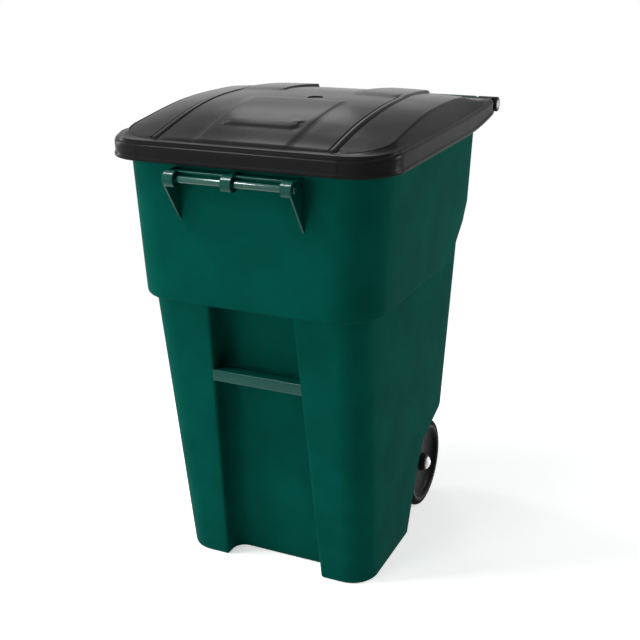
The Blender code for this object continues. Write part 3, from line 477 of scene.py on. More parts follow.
def rings_shell(name, rings):
    """Grid primitive whose rows are laid on matching rings, joined round and capped."""
    around, levels = len(rings[0]), len(rings)
    bpy.ops.mesh.primitive_grid_add(x_subdivisions=around, y_subdivisions=levels - 1)
    piece = bpy.context.object
    piece.name = name
    flat = [value for ring in rings for point in [*ring, ring[0]] for value in point]
    piece.data.vertices.foreach_set("co", flat)
    bpy.ops.object.mode_set(mode="EDIT")
    bpy.ops.mesh.select_all(action="SELECT")
    bpy.ops.mesh.remove_doubles(threshold=0.00001)
    bpy.ops.object.mode_set(mode="OBJECT")
    for height in (rings[0][0][2], rings[-1][0][2]):
        for corner in piece.data.vertices:
            corner.select = abs(corner.co.z - height) < CLEAR / 10
        bpy.ops.object.mode_set(mode="EDIT")
        bpy.ops.mesh.select_mode(type="VERT")
        bpy.ops.mesh.edge_face_add()
        bpy.ops.mesh.select_all(action="DESELECT")
        bpy.ops.object.mode_set(mode="OBJECT")
    bpy.ops.object.mode_set(mode="EDIT")
    bpy.ops.mesh.select_all(action="SELECT")
    bpy.ops.mesh.normals_make_consistent(inside=False)
    bpy.ops.object.mode_set(mode="OBJECT")
    return piece


def plate(name, profile, left, right):
    """Flat outline of (y, z) points at one X, extruded to another."""
    bpy.ops.mesh.primitive_circle_add(vertices=len(profile), fill_type="NGON")
    piece = bpy.context.object
    piece.name = name
    for corner, (y, z) in zip(piece.data.vertices, profile):
        corner.co = (left, y, z)
    bpy.ops.object.mode_set(mode="EDIT")
    bpy.ops.mesh.select_all(action="SELECT")
    bpy.ops.mesh.extrude_region_move(TRANSFORM_OT_translate={"value": (right - left, 0, 0)})
    bpy.ops.mesh.select_all(action="SELECT")
    bpy.ops.mesh.normals_make_consistent(inside=False)
    bpy.ops.object.mode_set(mode="OBJECT")
    return piece


def bar(name, middle_y, middle_z, radius, left, right, sides=48, edge=0.0015):
    """Round bar along X with softened ends."""
    bpy.ops.mesh.primitive_cylinder_add(
        vertices=sides, radius=radius, depth=right - left,
        location=((left + right) / 2, middle_y, middle_z), rotation=(0, math.pi / 2, 0),
    )
    piece = bpy.context.object
    piece.name = name
    bpy.ops.object.transform_apply(location=True, rotation=True, scale=True)
    if edge:
        bevel_edges(piece, edge, 3, lambda middle, angle: angle > 60)
    return piece


def spun(name, profile, steps=96):
    """Closed profile of (x, radius) points, spun round the axle."""
    bpy.ops.mesh.primitive_circle_add(vertices=len(profile), fill_type="NOTHING")
    piece = bpy.context.object
    piece.name = name
    for corner, (x, radius) in zip(piece.data.vertices, profile):
        corner.co = (x, AXLE_Y, AXLE_Z + radius)
    bpy.ops.object.mode_set(mode="EDIT")
    bpy.ops.mesh.select_all(action="SELECT")
    bpy.ops.mesh.spin(
        steps=steps, angle=2 * math.pi, center=(0, AXLE_Y, AXLE_Z), axis=(1, 0, 0),
    )
    bpy.ops.mesh.select_all(action="SELECT")
    bpy.ops.mesh.remove_doubles(threshold=0.00002)
    bpy.ops.mesh.normals_make_consistent(inside=False)
    bpy.ops.object.mode_set(mode="OBJECT")
    return piece


def rounded(profile, radii, steps=5):
    """Profile with its corners rounded, a radius for each corner."""
    points = []
    count = len(profile)
    for index, corner in enumerate(profile):
        here = Vector(corner)
        before = (Vector(profile[index - 1]) - here).normalized()
        after = (Vector(profile[(index + 1) % count]) - here).normalized()
        half = before.angle(after) / 2
        if not radii[index] or half > math.radians(88):
            points.append(tuple(here))
            continue
        reach = radii[index] / math.tan(half)
        middle = here + (before + after).normalized() * radii[index] / math.sin(half)
        start, end = here + before * reach - middle, here + after * reach - middle
        turn = math.atan2(start.x * end.y - start.y * end.x, start.dot(end))
        for step in range(steps + 1):
            spot = middle + Matrix.Rotation(turn * step / steps, 2) @ start
            points.append(tuple(spot))
    return points


def run(start, end, count):
    """Points from a start up to, and without, an end."""
    return [
        (start[0] + (end[0] - start[0]) * step / count, start[1] + (end[1] - start[1]) * step / count)
        for step in range(count)
    ]


def arc(middle, radius, start, end, count):
    """Points round an arc from a start angle up to, and without, an end angle."""
    turns = [math.radians(start + (end - start) * step / count) for step in range(count)]
    return [
        (middle[0] + radius * math.cos(turn), middle[1] + radius * math.sin(turn)) for turn in turns
    ]


def lower_front(height):
    """Y of the lower body's front at a height."""
    return BASE_FRONT_Y - FRONT_RAKE * height / STEP_Z


def lower_outline(height, inset):
    """Half outline of the lower body with its front channel."""
    rise = height / STEP_Z
    front_half = (BASE_WIDTH + (STEP_FRONT_WIDTH - BASE_WIDTH) * rise) / 2 - inset
    rear_half = (BASE_WIDTH + (STEP_REAR_WIDTH - BASE_WIDTH) * rise) / 2 - inset
    front, rear = lower_front(height) + inset, BASE_REAR_Y + REAR_RAKE * rise - inset
    corner = BASE_CORNER - inset
    half = (CHANNEL_BASE_WIDTH + (CHANNEL_TOP_WIDTH - CHANNEL_BASE_WIDTH) * rise) / 2 + inset
    back = lower_front(height) + CHANNEL_BASE_DEPTH + (CHANNEL_TOP_DEPTH - CHANNEL_BASE_DEPTH) * rise
    back += inset
    inner, edge = CHANNEL_CORNER + inset, max(CHANNEL_EDGE - inset, WALL / 5)
    return [
        *run((0, back), (half - inner, back), CHANNEL_STEPS[0]),
        *arc((half - inner, back - inner), inner, 90, 0, CHANNEL_STEPS[1]),
        *run((half, back - inner), (half, front + edge), CHANNEL_STEPS[2]),
        *arc((half + edge, front + edge), edge, 180, 270, CHANNEL_STEPS[3]),
        *run((half + edge, front), (front_half - corner, front), FRONT_STEPS),
        *arc((front_half - corner, front + corner), corner, 270, 360, CORNER_STEPS),
        *run((front_half, front + corner), (rear_half, rear - corner), SIDE_STEPS),
        *arc((rear_half - corner, rear - corner), corner, 0, 90, CORNER_STEPS),
        *run((rear_half - corner, rear), (0, rear), REAR_STEPS),
        (0, rear),
    ]


def band_outline(height, inset):
    """Half outline of the upper band, point for point like the lower body's."""
    rise = (height - STEP_Z) / (RIM_Z - STEP_Z)
    half = (BAND_LOW_WIDTH + (RIM_WIDTH - BAND_LOW_WIDTH) * rise) / 2 - inset
    lean = BAND_DRAFT * rise
    front, rear = BAND_FRONT_Y - lean + inset, BAND_REAR_Y - BAND_DRAFT + lean - inset
    corner, back = BAND_CORNER - inset, BAND_REAR_CORNER - inset
    channel_half = CHANNEL_TOP_WIDTH / 2 + CHANNEL_EDGE
    return [
        *run((0, front), (channel_half, front), sum(CHANNEL_STEPS)),
        *run((channel_half, front), (half - corner, front), FRONT_STEPS),
        *arc((half - corner, front + corner), corner, 270, 360, CORNER_STEPS),
        *run((half, front + corner), (half, rear - back), SIDE_STEPS),
        *arc((half - back, rear - back), back, 0, 90, CORNER_STEPS),
        *run((half - back, rear), (0, rear), REAR_STEPS),
        (0, rear),
    ]


def underside(y):
    """Height of the band's underside, level at the front and sloping up at the rear."""
    climb = REAR_STEP_LOW + (y - LOWER_REAR_Y) * REAR_STEP_SLOPE - STEP_Z
    return STEP_Z + (climb + math.hypot(climb, STEP_BLEND)) / 2


def whole(half):
    """Full ring of a half ring and its mirror image."""
    return half + [(-x, y, z) for x, y, z in half[-2:0:-1]]


def lower_ring(share, inset, lift=0.0, foot=0.0):
    """Ring of the lower body, part of the way from its foot to the band's underside."""
    ring = []
    for index, (_, y) in enumerate(lower_outline(STEP_Z * share, inset)):
        height = foot + (underside(y) + lift - foot) * share
        x, y = lower_outline(height, inset)[index]
        ring.append((x, y, height))
    return whole(ring)


def step_rings(inset, lift):
    """Rings round the band's lower edge, from under the step out to the band's face."""
    rings = []
    for turn in (0, 22, 45, 67, 90):
        angle = math.radians(turn)
        ring = []
        for (low_x, low_y), (x, y) in zip(lower_outline(STEP_Z, inset), band_outline(STEP_Z, inset)):
            out = Vector((x - low_x, y - low_y))
            edge = min(BAND_EDGE, out.length * 0.8)
            back = out.normalized() * edge * (1 - math.sin(angle))
            place = (x - back.x, y - back.y)
            height = underside(y) + lift + edge * (1 - math.cos(angle))
            ring.append((*place, height))
        rings.append(whole(ring))
    return rings


def band_ring(share, inset, lift=0.0):
    """Ring of the band, part of the way from its lower edge to the rim."""
    ring = []
    for index, (_, y) in enumerate(band_outline(STEP_Z, inset)):
        low = underside(y) + lift + BAND_EDGE
        height = low + (RIM_Z - FLANGE_HEIGHT - low) * share
        ring.append((*band_outline(height, inset)[index], height))
    return whole(ring)


def level_ring(outline, height, inset):
    """Level ring of an outline."""
    return whole([(x, y, height) for x, y in outline(height, inset)])


def outer_rings():
    """Rings up the outside of the bin, foot to rim."""
    rings = []
    for turn in (0, 30, 60):
        angle = math.radians(turn)
        inset, height = BASE_EDGE * (1 - math.sin(angle)), BASE_EDGE * (1 - math.cos(angle))
        rings.append(level_ring(lower_outline, height, inset))
    rings += [
        lower_ring(step / LOWER_LEVELS, 0.0, foot=BASE_EDGE) for step in range(LOWER_LEVELS + 1)
    ]
    rings += step_rings(0.0, 0.0)
    rings += [band_ring(step / BAND_LEVELS, 0.0) for step in range(1, BAND_LEVELS + 1)]
    flange_low = RIM_Z - FLANGE_HEIGHT
    for height, reach in (
        (flange_low + FLANGE_EDGE / 3, FLANGE_REACH - FLANGE_EDGE), (flange_low + FLANGE_EDGE, FLANGE_REACH),
        (RIM_Z - FLANGE_EDGE, FLANGE_REACH), (RIM_Z - FLANGE_EDGE / 3, FLANGE_REACH - FLANGE_EDGE / 3),
        (RIM_Z, FLANGE_REACH - FLANGE_EDGE),
    ):
        rings.append(whole([(x, y, height) for x, y in band_outline(RIM_Z, -reach)]))
    return rings


def inner_rings():
    """Rings up the inside of the bin, floor to above the rim."""
    lift = WALL * 1.2
    rings = [level_ring(lower_outline, FLOOR, WALL * 2), level_ring(lower_outline, FLOOR + WALL, WALL)]
    rings += [
        lower_ring(step / LOWER_LEVELS, WALL, lift, FLOOR + WALL) for step in range(1, LOWER_LEVELS + 1)
    ]
    rings += step_rings(WALL, lift)
    rings += [band_ring(step / BAND_LEVELS, WALL, lift) for step in range(1, BAND_LEVELS + 1)]
    for height, inset in ((RIM_Z - WALL / 2, WALL), (RIM_Z, WALL / 2), (RIM_Z + WALL, -WALL / 2)):
        rings.append(whole([(x, y, height) for x, y in band_outline(RIM_Z, inset)]))
    return rings


def well_front(height):
    """Y of the wheel well's front wall at a height."""
    return AXLE_Y - WHEEL_RADIUS - WELL_FRONT_GAP + WELL_LEAN * (height - AXLE_Z)


def well(name, side, wall):
    """Wheel well on one side, grown by a wall."""
    shoulder_z = AXLE_Z + WELL_SHOULDER
    rear = LOWER_REAR_Y + WELL_INNER
    roof_z = AXLE_Z + WHEEL_RADIUS + WELL_ROOF_GAP + wall
    knee_y = well_front(shoulder_z) + WELL_SHOULDER * WELL_ROOF_SLOPE
    profile = [
        (well_front(-OVERRUN) - wall, -OVERRUN),
        (rear, -OVERRUN),
        (rear, roof_z + (rear - AXLE_Y) * WELL_ROOF_SLOPE),
        (knee_y, roof_z + (knee_y - AXLE_Y) * WELL_ROOF_SLOPE),
        (well_front(shoulder_z) - wall, shoulder_z),
    ]
    outline = rounded(profile, (0, 0, 0, WELL_ROUND, WELL_ROUND * 3))
    return plate(name, outline, *sorted((side * (WELL_INNER - wall), side * RIM_WIDTH)))


def recess(name, wall):
    """Open space under the bin between the wells."""
    top = AXLE_Z + (AXLE_HIGH.z - AXLE_LOW.z) / 2 + RECESS_HEADROOM + wall
    front = RECESS_SETBACK - wall
    rear = LOWER_REAR_Y + WELL_INNER
    profile = [
        (well_front(-OVERRUN) + front, -OVERRUN), (rear, -OVERRUN), (rear, top),
        (well_front(top) + front, top),
    ]
    reach = WELL_INNER + WALL * 2
    return plate(name, profile, -reach, reach)


def make_bin(green):
    """Moulded bin: an outer and an inner skin, the wheel wells and the recess."""
    shell = rings_shell("bin_outside", outer_rings())
    carve(shell, [well("well_left", -1, 0.0), well("well_right", 1, 0.0), recess("recess", 0.0)])
    inside = rings_shell("bin_inside", inner_rings())
    carve(inside, [
        well("inner_well_left", -1, WALL), well("inner_well_right", 1, WALL), recess("inner_recess", WALL),
    ])
    carve(shell, [inside])
    clean(shell, 35)
    dress(shell, "bin_shell", green, "container")
    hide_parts("bin_body")


def make_grip(green):
    """Bar across the front channel, its face flush with the bin's front."""
    low = GRIP_TOP - GRIP_HEIGHT
    front_top, front_low = lower_front(GRIP_TOP), lower_front(low)
    profile = rounded([
        (front_low, low), (front_low + GRIP_DEPTH, low), (front_low + GRIP_DEPTH, GRIP_TOP),
        (front_top, GRIP_TOP),
    ], (0.006, 0.006, 0.006, 0.0028))
    rise = (GRIP_TOP - GRIP_HEIGHT / 2) / STEP_Z
    half = (CHANNEL_BASE_WIDTH + (CHANNEL_TOP_WIDTH - CHANNEL_BASE_WIDTH) * rise) / 2 + SINK
    piece = clean(plate("grip", profile, -half, half))
    dress(piece, "grip_bar", green, "container")


def make_lift_group(green, bar_green):
    """Gussets, bosses, web and ledge that carry the lift bar, and the bar."""
    wall_y = BAND_FRONT_Y + SINK
    top_z = LIFT_Z + BOSS_RADIUS
    turns = [math.radians(angle) for angle in range(225, 89, -9)]
    nose = [(BOSS_Y + BOSS_RADIUS * math.cos(a), LIFT_Z + BOSS_RADIUS * math.sin(a)) for a in turns]
    gusset = [(wall_y, LIFT_Z - GUSSET_DROP), *nose, (wall_y, top_z)]
    web = [(wall_y, LIFT_Z - BOSS_RADIUS), *nose, (wall_y, top_z)]
    outer = GUSSET_SPAN / 2
    for side, word in ((-1, "left"), (1, "right")):
        ends = sorted((side * outer, side * (outer - GUSSET_THICKNESS)))
        piece = plate("gusset", gusset, *ends)
        bevel_edges(piece, 0.0009, 2, lambda middle, angle: angle > 40 and middle.y < BAND_FRONT_Y - SINK)
        dress(clean(piece), f"lift_gusset_{word}", green, "container")
        ends = sorted((side * (outer + CLEAR), side * (outer - BOSS_LENGTH)))
        dress(clean(make_boss(ends)), f"lift_boss_{word}", green, "container")
    dress(
        clean(make_boss((-BOSS_LENGTH / 2, BOSS_LENGTH / 2))),
        "lift_boss_middle", green, "container",
    )
    piece = plate("web", web, -WEB_THICKNESS / 2, WEB_THICKNESS / 2)
    dress(clean(piece), "lift_web", green, "container")
    ledge_top = top_z - LEDGE_DROP
    half = outer - GUSSET_THICKNESS / 2
    ledge = rounded([
        (BOSS_Y + BOSS_RADIUS - LEDGE_OVERLAP, ledge_top - LEDGE_THICKNESS),
        (wall_y, ledge_top - LEDGE_THICKNESS), (wall_y, ledge_top),
        (BOSS_Y + BOSS_RADIUS - LEDGE_OVERLAP, ledge_top),
    ], (0.001, 0, 0, 0.001))
    dress(clean(plate("ledge", ledge, -half, half)), "lift_ledge", green, "container")
    rod = bar("rod", BOSS_Y, LIFT_Z, (BAR_HIGH.z - BAR_LOW.z) / 2, BAR_LOW.x, BAR_HIGH.x)
    dress(clean(rod), "lift_rod", bar_green, "container")
    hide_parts("lift_bar")


def make_boss(ends):
    """Boss round the lift bar, with a sunk ring in each end face."""
    radius = (BAR_HIGH.z - BAR_LOW.z) / 2 + CLEAR
    left, right = ends
    sink = BOSS_LENGTH / 8
    rim = BOSS_RADIUS - 0.003
    profile = [
        (left, rim), (left, BOSS_RADIUS - 0.001), (left + 0.001, BOSS_RADIUS),
        (right - 0.001, BOSS_RADIUS), (right, BOSS_RADIUS - 0.001), (right, rim),
        (right - sink, rim), (right - sink, radius), (left + sink, radius), (left + sink, rim),
    ]
    piece = spun("boss", profile, 48)
    piece.location = (0, BOSS_Y - AXLE_Y, LIFT_Z - AXLE_Z)
    return piece


def make_handle(green):
    """Rear handle between two arms."""
    half = HANDLE_SPAN / 2
    reach = PIN_LOW.x
    inside_y = BAND_REAR_Y - BAND_CORNER
    top_z = RIM_Z - FLANGE_EDGE
    turns = [math.radians(angle) for angle in range(-90, 91, 10)]
    profile = [
        (inside_y, HINGE_Z - ARM_FOOT),
        (BAND_REAR_Y, HINGE_Z - ARM_FOOT),
        (HANDLE_Y - ARM_NECK, HINGE_Z - HANDLE_RADIUS),
        *[(HANDLE_Y + HANDLE_RADIUS * math.cos(a), HINGE_Z + HANDLE_RADIUS * math.sin(a)) for a in turns],
        (HANDLE_Y - HANDLE_RADIUS, HINGE_Z),
        (BAND_REAR_Y + FLANGE_REACH * 2, top_z),
        (inside_y, top_z),
    ]
    for side, word in ((-1, "left"), (1, "right")):
        ends = sorted((side * half, side * (half - ARM_THICKNESS)))
        piece = plate("arm", profile, *ends)
        carve(piece, [rings_shell("inside", inner_rings())])
        bevel_edges(piece, 0.0015, 2, lambda middle, angle: angle > 50 and middle.y > BAND_REAR_Y + WALL)
        dress(clean(piece), f"handle_arm_{word}", green, "container")
    piece = bar("grip_tube", HANDLE_Y, HINGE_Z, HANDLE_RADIUS, CLEAR - half, half - CLEAR)
    carve(piece, [
        bar("pin_hole", HANDLE_Y, HINGE_Z, (PIN_HIGH.z - PIN_LOW.z) / 2 * 5 / 9 + CLEAR, low, high, 32, 0)
        for low, high in ((reach - CLEAR, half + OVERRUN), (-half - OVERRUN, CLEAR - reach))
    ])
    dress(clean(piece), "rear_handle", green, "container")


def make_brackets(green):
    """Four plates under the bin that hold the axle."""
    under = AXLE_Z + (AXLE_HIGH.z - AXLE_LOW.z) / 2 + RECESS_HEADROOM + SINK
    low = AXLE_Z - BRACKET_CHIN
    profile = rounded([
        (AXLE_Y - BRACKET_HALF_DEPTH, under), (AXLE_Y - BRACKET_CHIN, low),
        (AXLE_Y + BRACKET_CHIN, low), (AXLE_Y + BRACKET_HALF_DEPTH, under),
    ], (0, 0.006, 0.006, 0))
    radius = (AXLE_HIGH.z - AXLE_LOW.z) / 2 + CLEAR
    for side, word in ((-1, "left"), (1, "right")):
        for index in range(2):
            outer = BRACKET_OUTER - index * BRACKET_PITCH
            ends = sorted((side * outer, side * (outer - BRACKET_THICKNESS)))
            piece = plate("bracket", profile, *ends)
            hole = bar("hole", AXLE_Y, AXLE_Z, radius, ends[0] - OVERRUN, ends[1] + OVERRUN, 32, 0)
            carve(piece, [hole])
            name = f"axle_bracket_{word}_{('outer', 'inner')[index]}"
            dress(clean(piece), name, green, "container")


def share_at(table, place):
    """Smooth reading of a table of (place, value) shares."""
    place = min(max(place, table[0][0]), table[-1][0])
    index = next(step for step in range(1, len(table)) if place <= table[step][0])
    (start, low), (end, high) = table[index - 1], table[index]
    before, after = table[max(index - 2, 0)], table[min(index + 1, len(table) - 1)]
    length = end - start
    part = (place - start) / length
    leave = (high - before[1]) / (end - before[0]) * length
    arrive = (after[1] - low) / (after[0] - start) * length
    blend = part * part * (3 - 2 * part)
    bend = leave * part * (1 - part) ** 2 - arrive * part ** 2 * (1 - part)
    return low + (high - low) * blend + bend


def ease(value):
    """Smooth step from 0 to 1."""
    value = min(max(value, 0.0), 1.0)
    return value * value * (3 - 2 * value)


def flange_height(y):
    """Top of the lid's flange, which lifts a little towards the hinge."""
    rise = max(0.0, (y - LID_REAR_Y + LID_RISE_START) / LID_RISE_START)
    return RIM_Z + CLEAR + LID_WALL + LID_REAR_RISE * rise ** 2


def skirt_bottom(y):
    """Lower edge of the lid's skirt, which lifts towards the hinge."""
    rise = max(0.0, (y - LID_REAR_Y + SKIRT_LIFT_START) / SKIRT_LIFT_START)
    return RIM_Z - SKIRT_DROP + SKIRT_REAR_LIFT * rise ** 2


def half_width(y, box):
    """Half width of a rounded outline at a place along the lid."""
    front, rear, front_half, rear_half, front_corner, rear_corner = box
    front_end, rear_end = front + front_corner, rear - rear_corner
    level = min(max(y, front_end), rear_end)
    half = front_half + (rear_half - front_half) * (level - front) / (rear - front)
    corner = front_corner if y < front_end else rear_corner
    short = min(abs(y - level), corner)
    return half - corner + math.sqrt(corner ** 2 - short ** 2)


def lid_box(inset):
    """Lid's outline moved in."""
    half = LID_HALF - inset
    front_corner, rear_corner = LID_FRONT_CORNER - inset, LID_REAR_CORNER - inset
    return LID_FRONT_Y + inset, LID_REAR_Y - inset, half, half, front_corner, rear_corner


def track_at(y, factor):
    """How far round the crown's outline a row ends, to be found again on other outlines."""
    front, rear, _, _, front_corner, rear_corner = CROWN_BOX
    if y < front + front_corner:
        return "front", math.acos(min(1 - (y - front) / front_corner, 1.0)), factor
    if y > rear - rear_corner:
        return "rear", math.acos(min(1 - (rear - y) / rear_corner, 1.0)), factor
    return "side", (y - front - front_corner) / (rear - rear_corner - front - front_corner), factor


def place_on(track, box):
    """Point of an outline that matches a track."""
    zone, amount, factor = track
    front, rear, _, _, front_corner, rear_corner = box
    if zone == "front":
        y = front + front_corner * (1 - math.cos(amount))
    elif zone == "rear":
        y = rear - rear_corner * (1 - math.cos(amount))
    else:
        y = front + front_corner + (rear - rear_corner - front - front_corner) * amount
    return factor * half_width(y, box), y


def length_share(y):
    """Place along the dome, front foot to rear foot."""
    return (y - TOE_FRONT_Y) / DOME_LENGTH


def crease_height(y):
    """Height of the dome's foot over the lid's rim."""
    return share_at(CREASE_SHARES, (y - TOE_FRONT_Y) / (TOE_REAR_Y - TOE_FRONT_Y))


def rim_height(y):
    """Top of the flange along the lip, which stands a little higher at the sides."""
    return flange_height(y) + LIP_SIDE_RISE * ease((y - LID_FRONT_Y) / (LID_FRONT_CORNER * 2))


def lip_fall(y, inset):
    """How far the lip's rings lie lower along the front than at the sides."""
    front = 1 - ease((y - LID_FRONT_Y) / LID_FRONT_CORNER)
    return FRONT_FALL * front * min(max((FALL_START - inset) / FALL_WIDTH, 0.0), 1.0)


def bead_middle(y):
    """Distance of the bead's middle from the lid's middle."""
    return share_at(BEAD_LINE, y)


def inner_edge(y):
    """Edge of the centre panel at the front, which becomes the pad's inner edge at the rear."""
    along = min((y - TOE_FRONT_Y) / (PANEL_REAR_Y - TOE_FRONT_Y), 1.0)
    panel = (PANEL_FRONT_WIDTH + (PANEL_REAR_WIDTH - PANEL_FRONT_WIDTH) * along) / 2
    back = max(y - PAD_FRONT_Y, 0.0) / (TOE_REAR_Y - PAD_FRONT_Y)
    pad = PAD_FRONT_INNER + (PAD_INNER - PAD_FRONT_INNER) * back
    return panel + (pad - panel) * ease((y - PANEL_REAR_Y) / (PAD_FRONT_Y - PANEL_REAR_Y))


def bead_line(offset):
    """Cut and rise at one edge of a bead, from its offset towards the bead's middle."""
    place = offset / BEAD_STEP
    return ease((place + 0.2) / 1.2), max(0.0, 1 - abs(place + 0.4) / 0.6)


def crown_base(x, y):
    """Smooth top of the lid's dome, from its foot crease up its shoulder to the crown."""
    foot = crease_height(y)
    crown = max(DOME_HEIGHT * share_at(CROWN_SHARES, length_share(y)), foot)
    across = min(abs(x) / half_width(y, TOE_BOX), 1.0)
    along = min((y - TOE_FRONT_Y) / END_ROLL, (TOE_REAR_Y - y) / END_ROLL, 1.0)
    end = 1 - (1 - max(along, 0.0)) ** END_POWER
    return flange_height(y) + foot + (crown - foot) * (1 - across ** SIDE_POWER) * end


def crown_height(x, y):
    """Top of the lid's crown with its beads, pads, centre panel and blank plate."""
    across = abs(x)
    height = crown_base(x, y)
    bead = bead_middle(y)
    inner_rise, inner_cut = bead_line(across - bead + BEAD_WIDTH / 2)
    outer_rise, outer_cut = bead_line(bead + BEAD_WIDTH / 2 - across)
    past_edge = ease((across - inner_edge(y)) / EDGE_STEP)
    along = max(0.0, y - PAD_FRONT_Y) / (TOE_REAR_Y - PAD_FRONT_Y)
    pad = PAD_FRONT_RISE + (PAD_REAR_RISE - PAD_FRONT_RISE) * along
    pad *= ease((y - PAD_FRONT_Y) / 0.035) * past_edge
    fade = 1 - ease((y - PAD_FRONT_Y) / 0.08)
    height += max(pad, BEAD_RISE * inner_rise * fade) * outer_rise
    height -= BEAD_CUT * (inner_cut * fade + outer_cut)
    height += PANEL_RISE * (1 - past_edge) * ease((PANEL_REAR_Y + PANEL_EASE - y) / PANEL_EASE)
    side = ease((PLATE_WIDTH / 2 - across) / EDGE_STEP)
    end = ease((PLATE_DEPTH / 2 - abs(y - PLATE_Y)) / PLATE_EASE)
    return height + PLATE_RISE * side * end


def crown_rows():
    """Rows across the crown, close together at each raised edge."""
    front, rear = CROWN_BOX[0], CROWN_BOX[1]
    rows = [front, rear]
    soft_edges = (
        (PLATE_Y - PLATE_DEPTH / 2, PLATE_EASE), (PLATE_Y + PLATE_DEPTH / 2 - PLATE_EASE, PLATE_EASE),
        (PANEL_REAR_Y, PANEL_EASE),
    )
    for edge, width in soft_edges:
        rows += [edge + width * share for share in (0, 0.2, 0.4, 0.6, 0.8, 1)]
    rows += [front + CROWN_BOX[4] * (1 - math.cos(math.radians(turn))) for turn in range(9, 90, 9)]
    rows += [rear - CROWN_BOX[5] * (1 - math.cos(math.radians(turn))) for turn in range(15, 90, 15)]
    count = round((rear - front) / LID_ROW_PITCH)
    for step in range(1, count):
        y = front + (rear - front) * step / count
        if min(abs(y - row) for row in rows) > LID_ROW_PITCH / 3:
            rows.append(y)
    return sorted(rows)


def crown_columns(y):
    """Columns across the crown at a row, close together at each raised edge."""
    bead, edge = bead_middle(y), inner_edge(y)
    close = [EDGE_STEP * share for share in (0, 0.33, 0.67, 1)]
    line = [BEAD_STEP * share for share in (-1, -0.7, -0.4, -0.1, 0.3, 0.7)]
    groups = [
        [PLATE_WIDTH / 2 - EDGE_STEP + step for step in close],
        [edge + step for step in close],
        [bead - BEAD_WIDTH / 2 + step for step in line],
        [bead + BEAD_WIDTH / 2 - step for step in line[::-1]],
        [half_width(y, CROWN_BOX)],
    ]
    columns, last = [], 0.0
    for group, count in zip(groups, (5, 2, 6, 2, 5)):
        columns += [last + (group[0] - last) * step / count for step in range(1, count)] + group
        last = group[-1]
    return [-x for x in columns[::-1]] + [0.0] + columns


def slope_ring(tracks, inset, share, drop):
    """Ring part of the way down the slope from the dome's foot to the rim's groove."""
    ring = []
    for track in tracks:
        toe_x, toe_y = place_on(track, TOE_BOX)
        rim_x, rim_y = place_on(track, lid_box(inset))
        x, y = toe_x + (rim_x - toe_x) * share, toe_y + (rim_y - toe_y) * share
        foot = flange_height(toe_y) + crease_height(toe_y)
        fall = 1 - (1 - share) ** WALL_POWER
        ring.append((x, y, foot + (rim_height(rim_y) - foot) * fall - drop))
    return ring


def edge_rings(tracks, crown_edge):
    """Rings from the crown's edge down the roll, over the flange and lip and down the skirt."""
    rings = []
    for share in ROLL_SHARES:
        ring = []
        for track, (x, y, z) in zip(tracks, crown_edge):
            toe_x, toe_y = place_on(track, TOE_BOX)
            here_x, here_y = toe_x + (x - toe_x) * share, toe_y + (y - toe_y) * share
            raised = (z - crown_base(x, y)) * ease(share * 1.5)
            side = min(crease_height(toe_y) / CREASE_CUT / 3, 1.0)
            cut = CREASE_CUT * max(0.0, 1 - abs(share - 0.12) / 0.12) * side
            ring.append((here_x, here_y, crown_base(here_x, here_y) + raised - cut))
        rings.append(ring)
    toes = [place_on(track, TOE_BOX) for track in tracks]
    rings.append([(x, y, crown_base(x, y)) for x, y in toes])
    rings += [slope_ring(tracks, RIM_START, share, 0.0) for share in (0.08, 0.2, 0.4, 0.6, 0.8)]
    for inset, drop in (
        (RIM_START, 0.0), (0.0108, -0.0010), (0.0096, -0.0012), (0.0088, -0.0006), (0.0083, 0.0010),
        (0.0079, 0.0019), (0.0071, 0.0020), (0.0060, 0.0020), (0.0047, 0.0027), (0.0035, 0.0040),
        (0.0025, 0.0056), (0.0018, 0.0073), (0.0016, 0.0095),
    ):
        spots = [place_on(track, lid_box(inset)) for track in tracks]
        rings.append([(x, y, rim_height(y) - drop - lip_fall(y, inset)) for x, y in spots])
    for inset, lift in (
        (0.0022, HEM_HEIGHT + 0.0036), (0.0019, HEM_HEIGHT + 0.0022), (0.0004, HEM_HEIGHT + 0.0008),
        (0.0, HEM_HEIGHT), (0.0, 0.0018), (0.0005, 0.0005), (0.0018, 0.0),
    ):
        spots = [place_on(track, lid_box(inset)) for track in tracks]
        rings.append([(x, y, skirt_bottom(y) + lift) for x, y in spots])
    return rings


def inside_rings(tracks, crown_edge):
    """Rings from the skirt's foot up its inside and under the flange to the crown's underside."""
    rings = []
    inner = LID_WALL + 0.0012
    for inset, lift in ((inner, 0.0), (inner, HEM_HEIGHT * 2)):
        spots = [place_on(track, lid_box(inset)) for track in tracks]
        rings.append([(x, y, skirt_bottom(y) + lift) for x, y in spots])
    for inset, drop in ((inner, 0.0105), (inner + 0.001, 0.0085), (0.0095, 0.0062), (RIM_START, LID_WALL)):
        spots = [place_on(track, lid_box(inset)) for track in tracks]
        rings.append([(x, y, flange_height(y) - drop - lip_fall(y, inset)) for x, y in spots])
    rings += [slope_ring(tracks, RIM_START, share, LID_WALL) for share in (0.66, 0.33, 0.0)]
    for share in ROLL_SHARES[::-1]:
        ring = []
        for track, (x, y, _) in zip(tracks, crown_edge):
            toe_x, toe_y = place_on(track, TOE_BOX)
            here_x, here_y = toe_x + (x - toe_x) * share, toe_y + (y - toe_y) * share
            ring.append((here_x, here_y, crown_base(here_x, here_y) - LID_WALL))
        rings.append(ring)
    rings.append([(x, y, crown_base(x, y) - LID_WALL) for x, y, _ in crown_edge])
    return rings


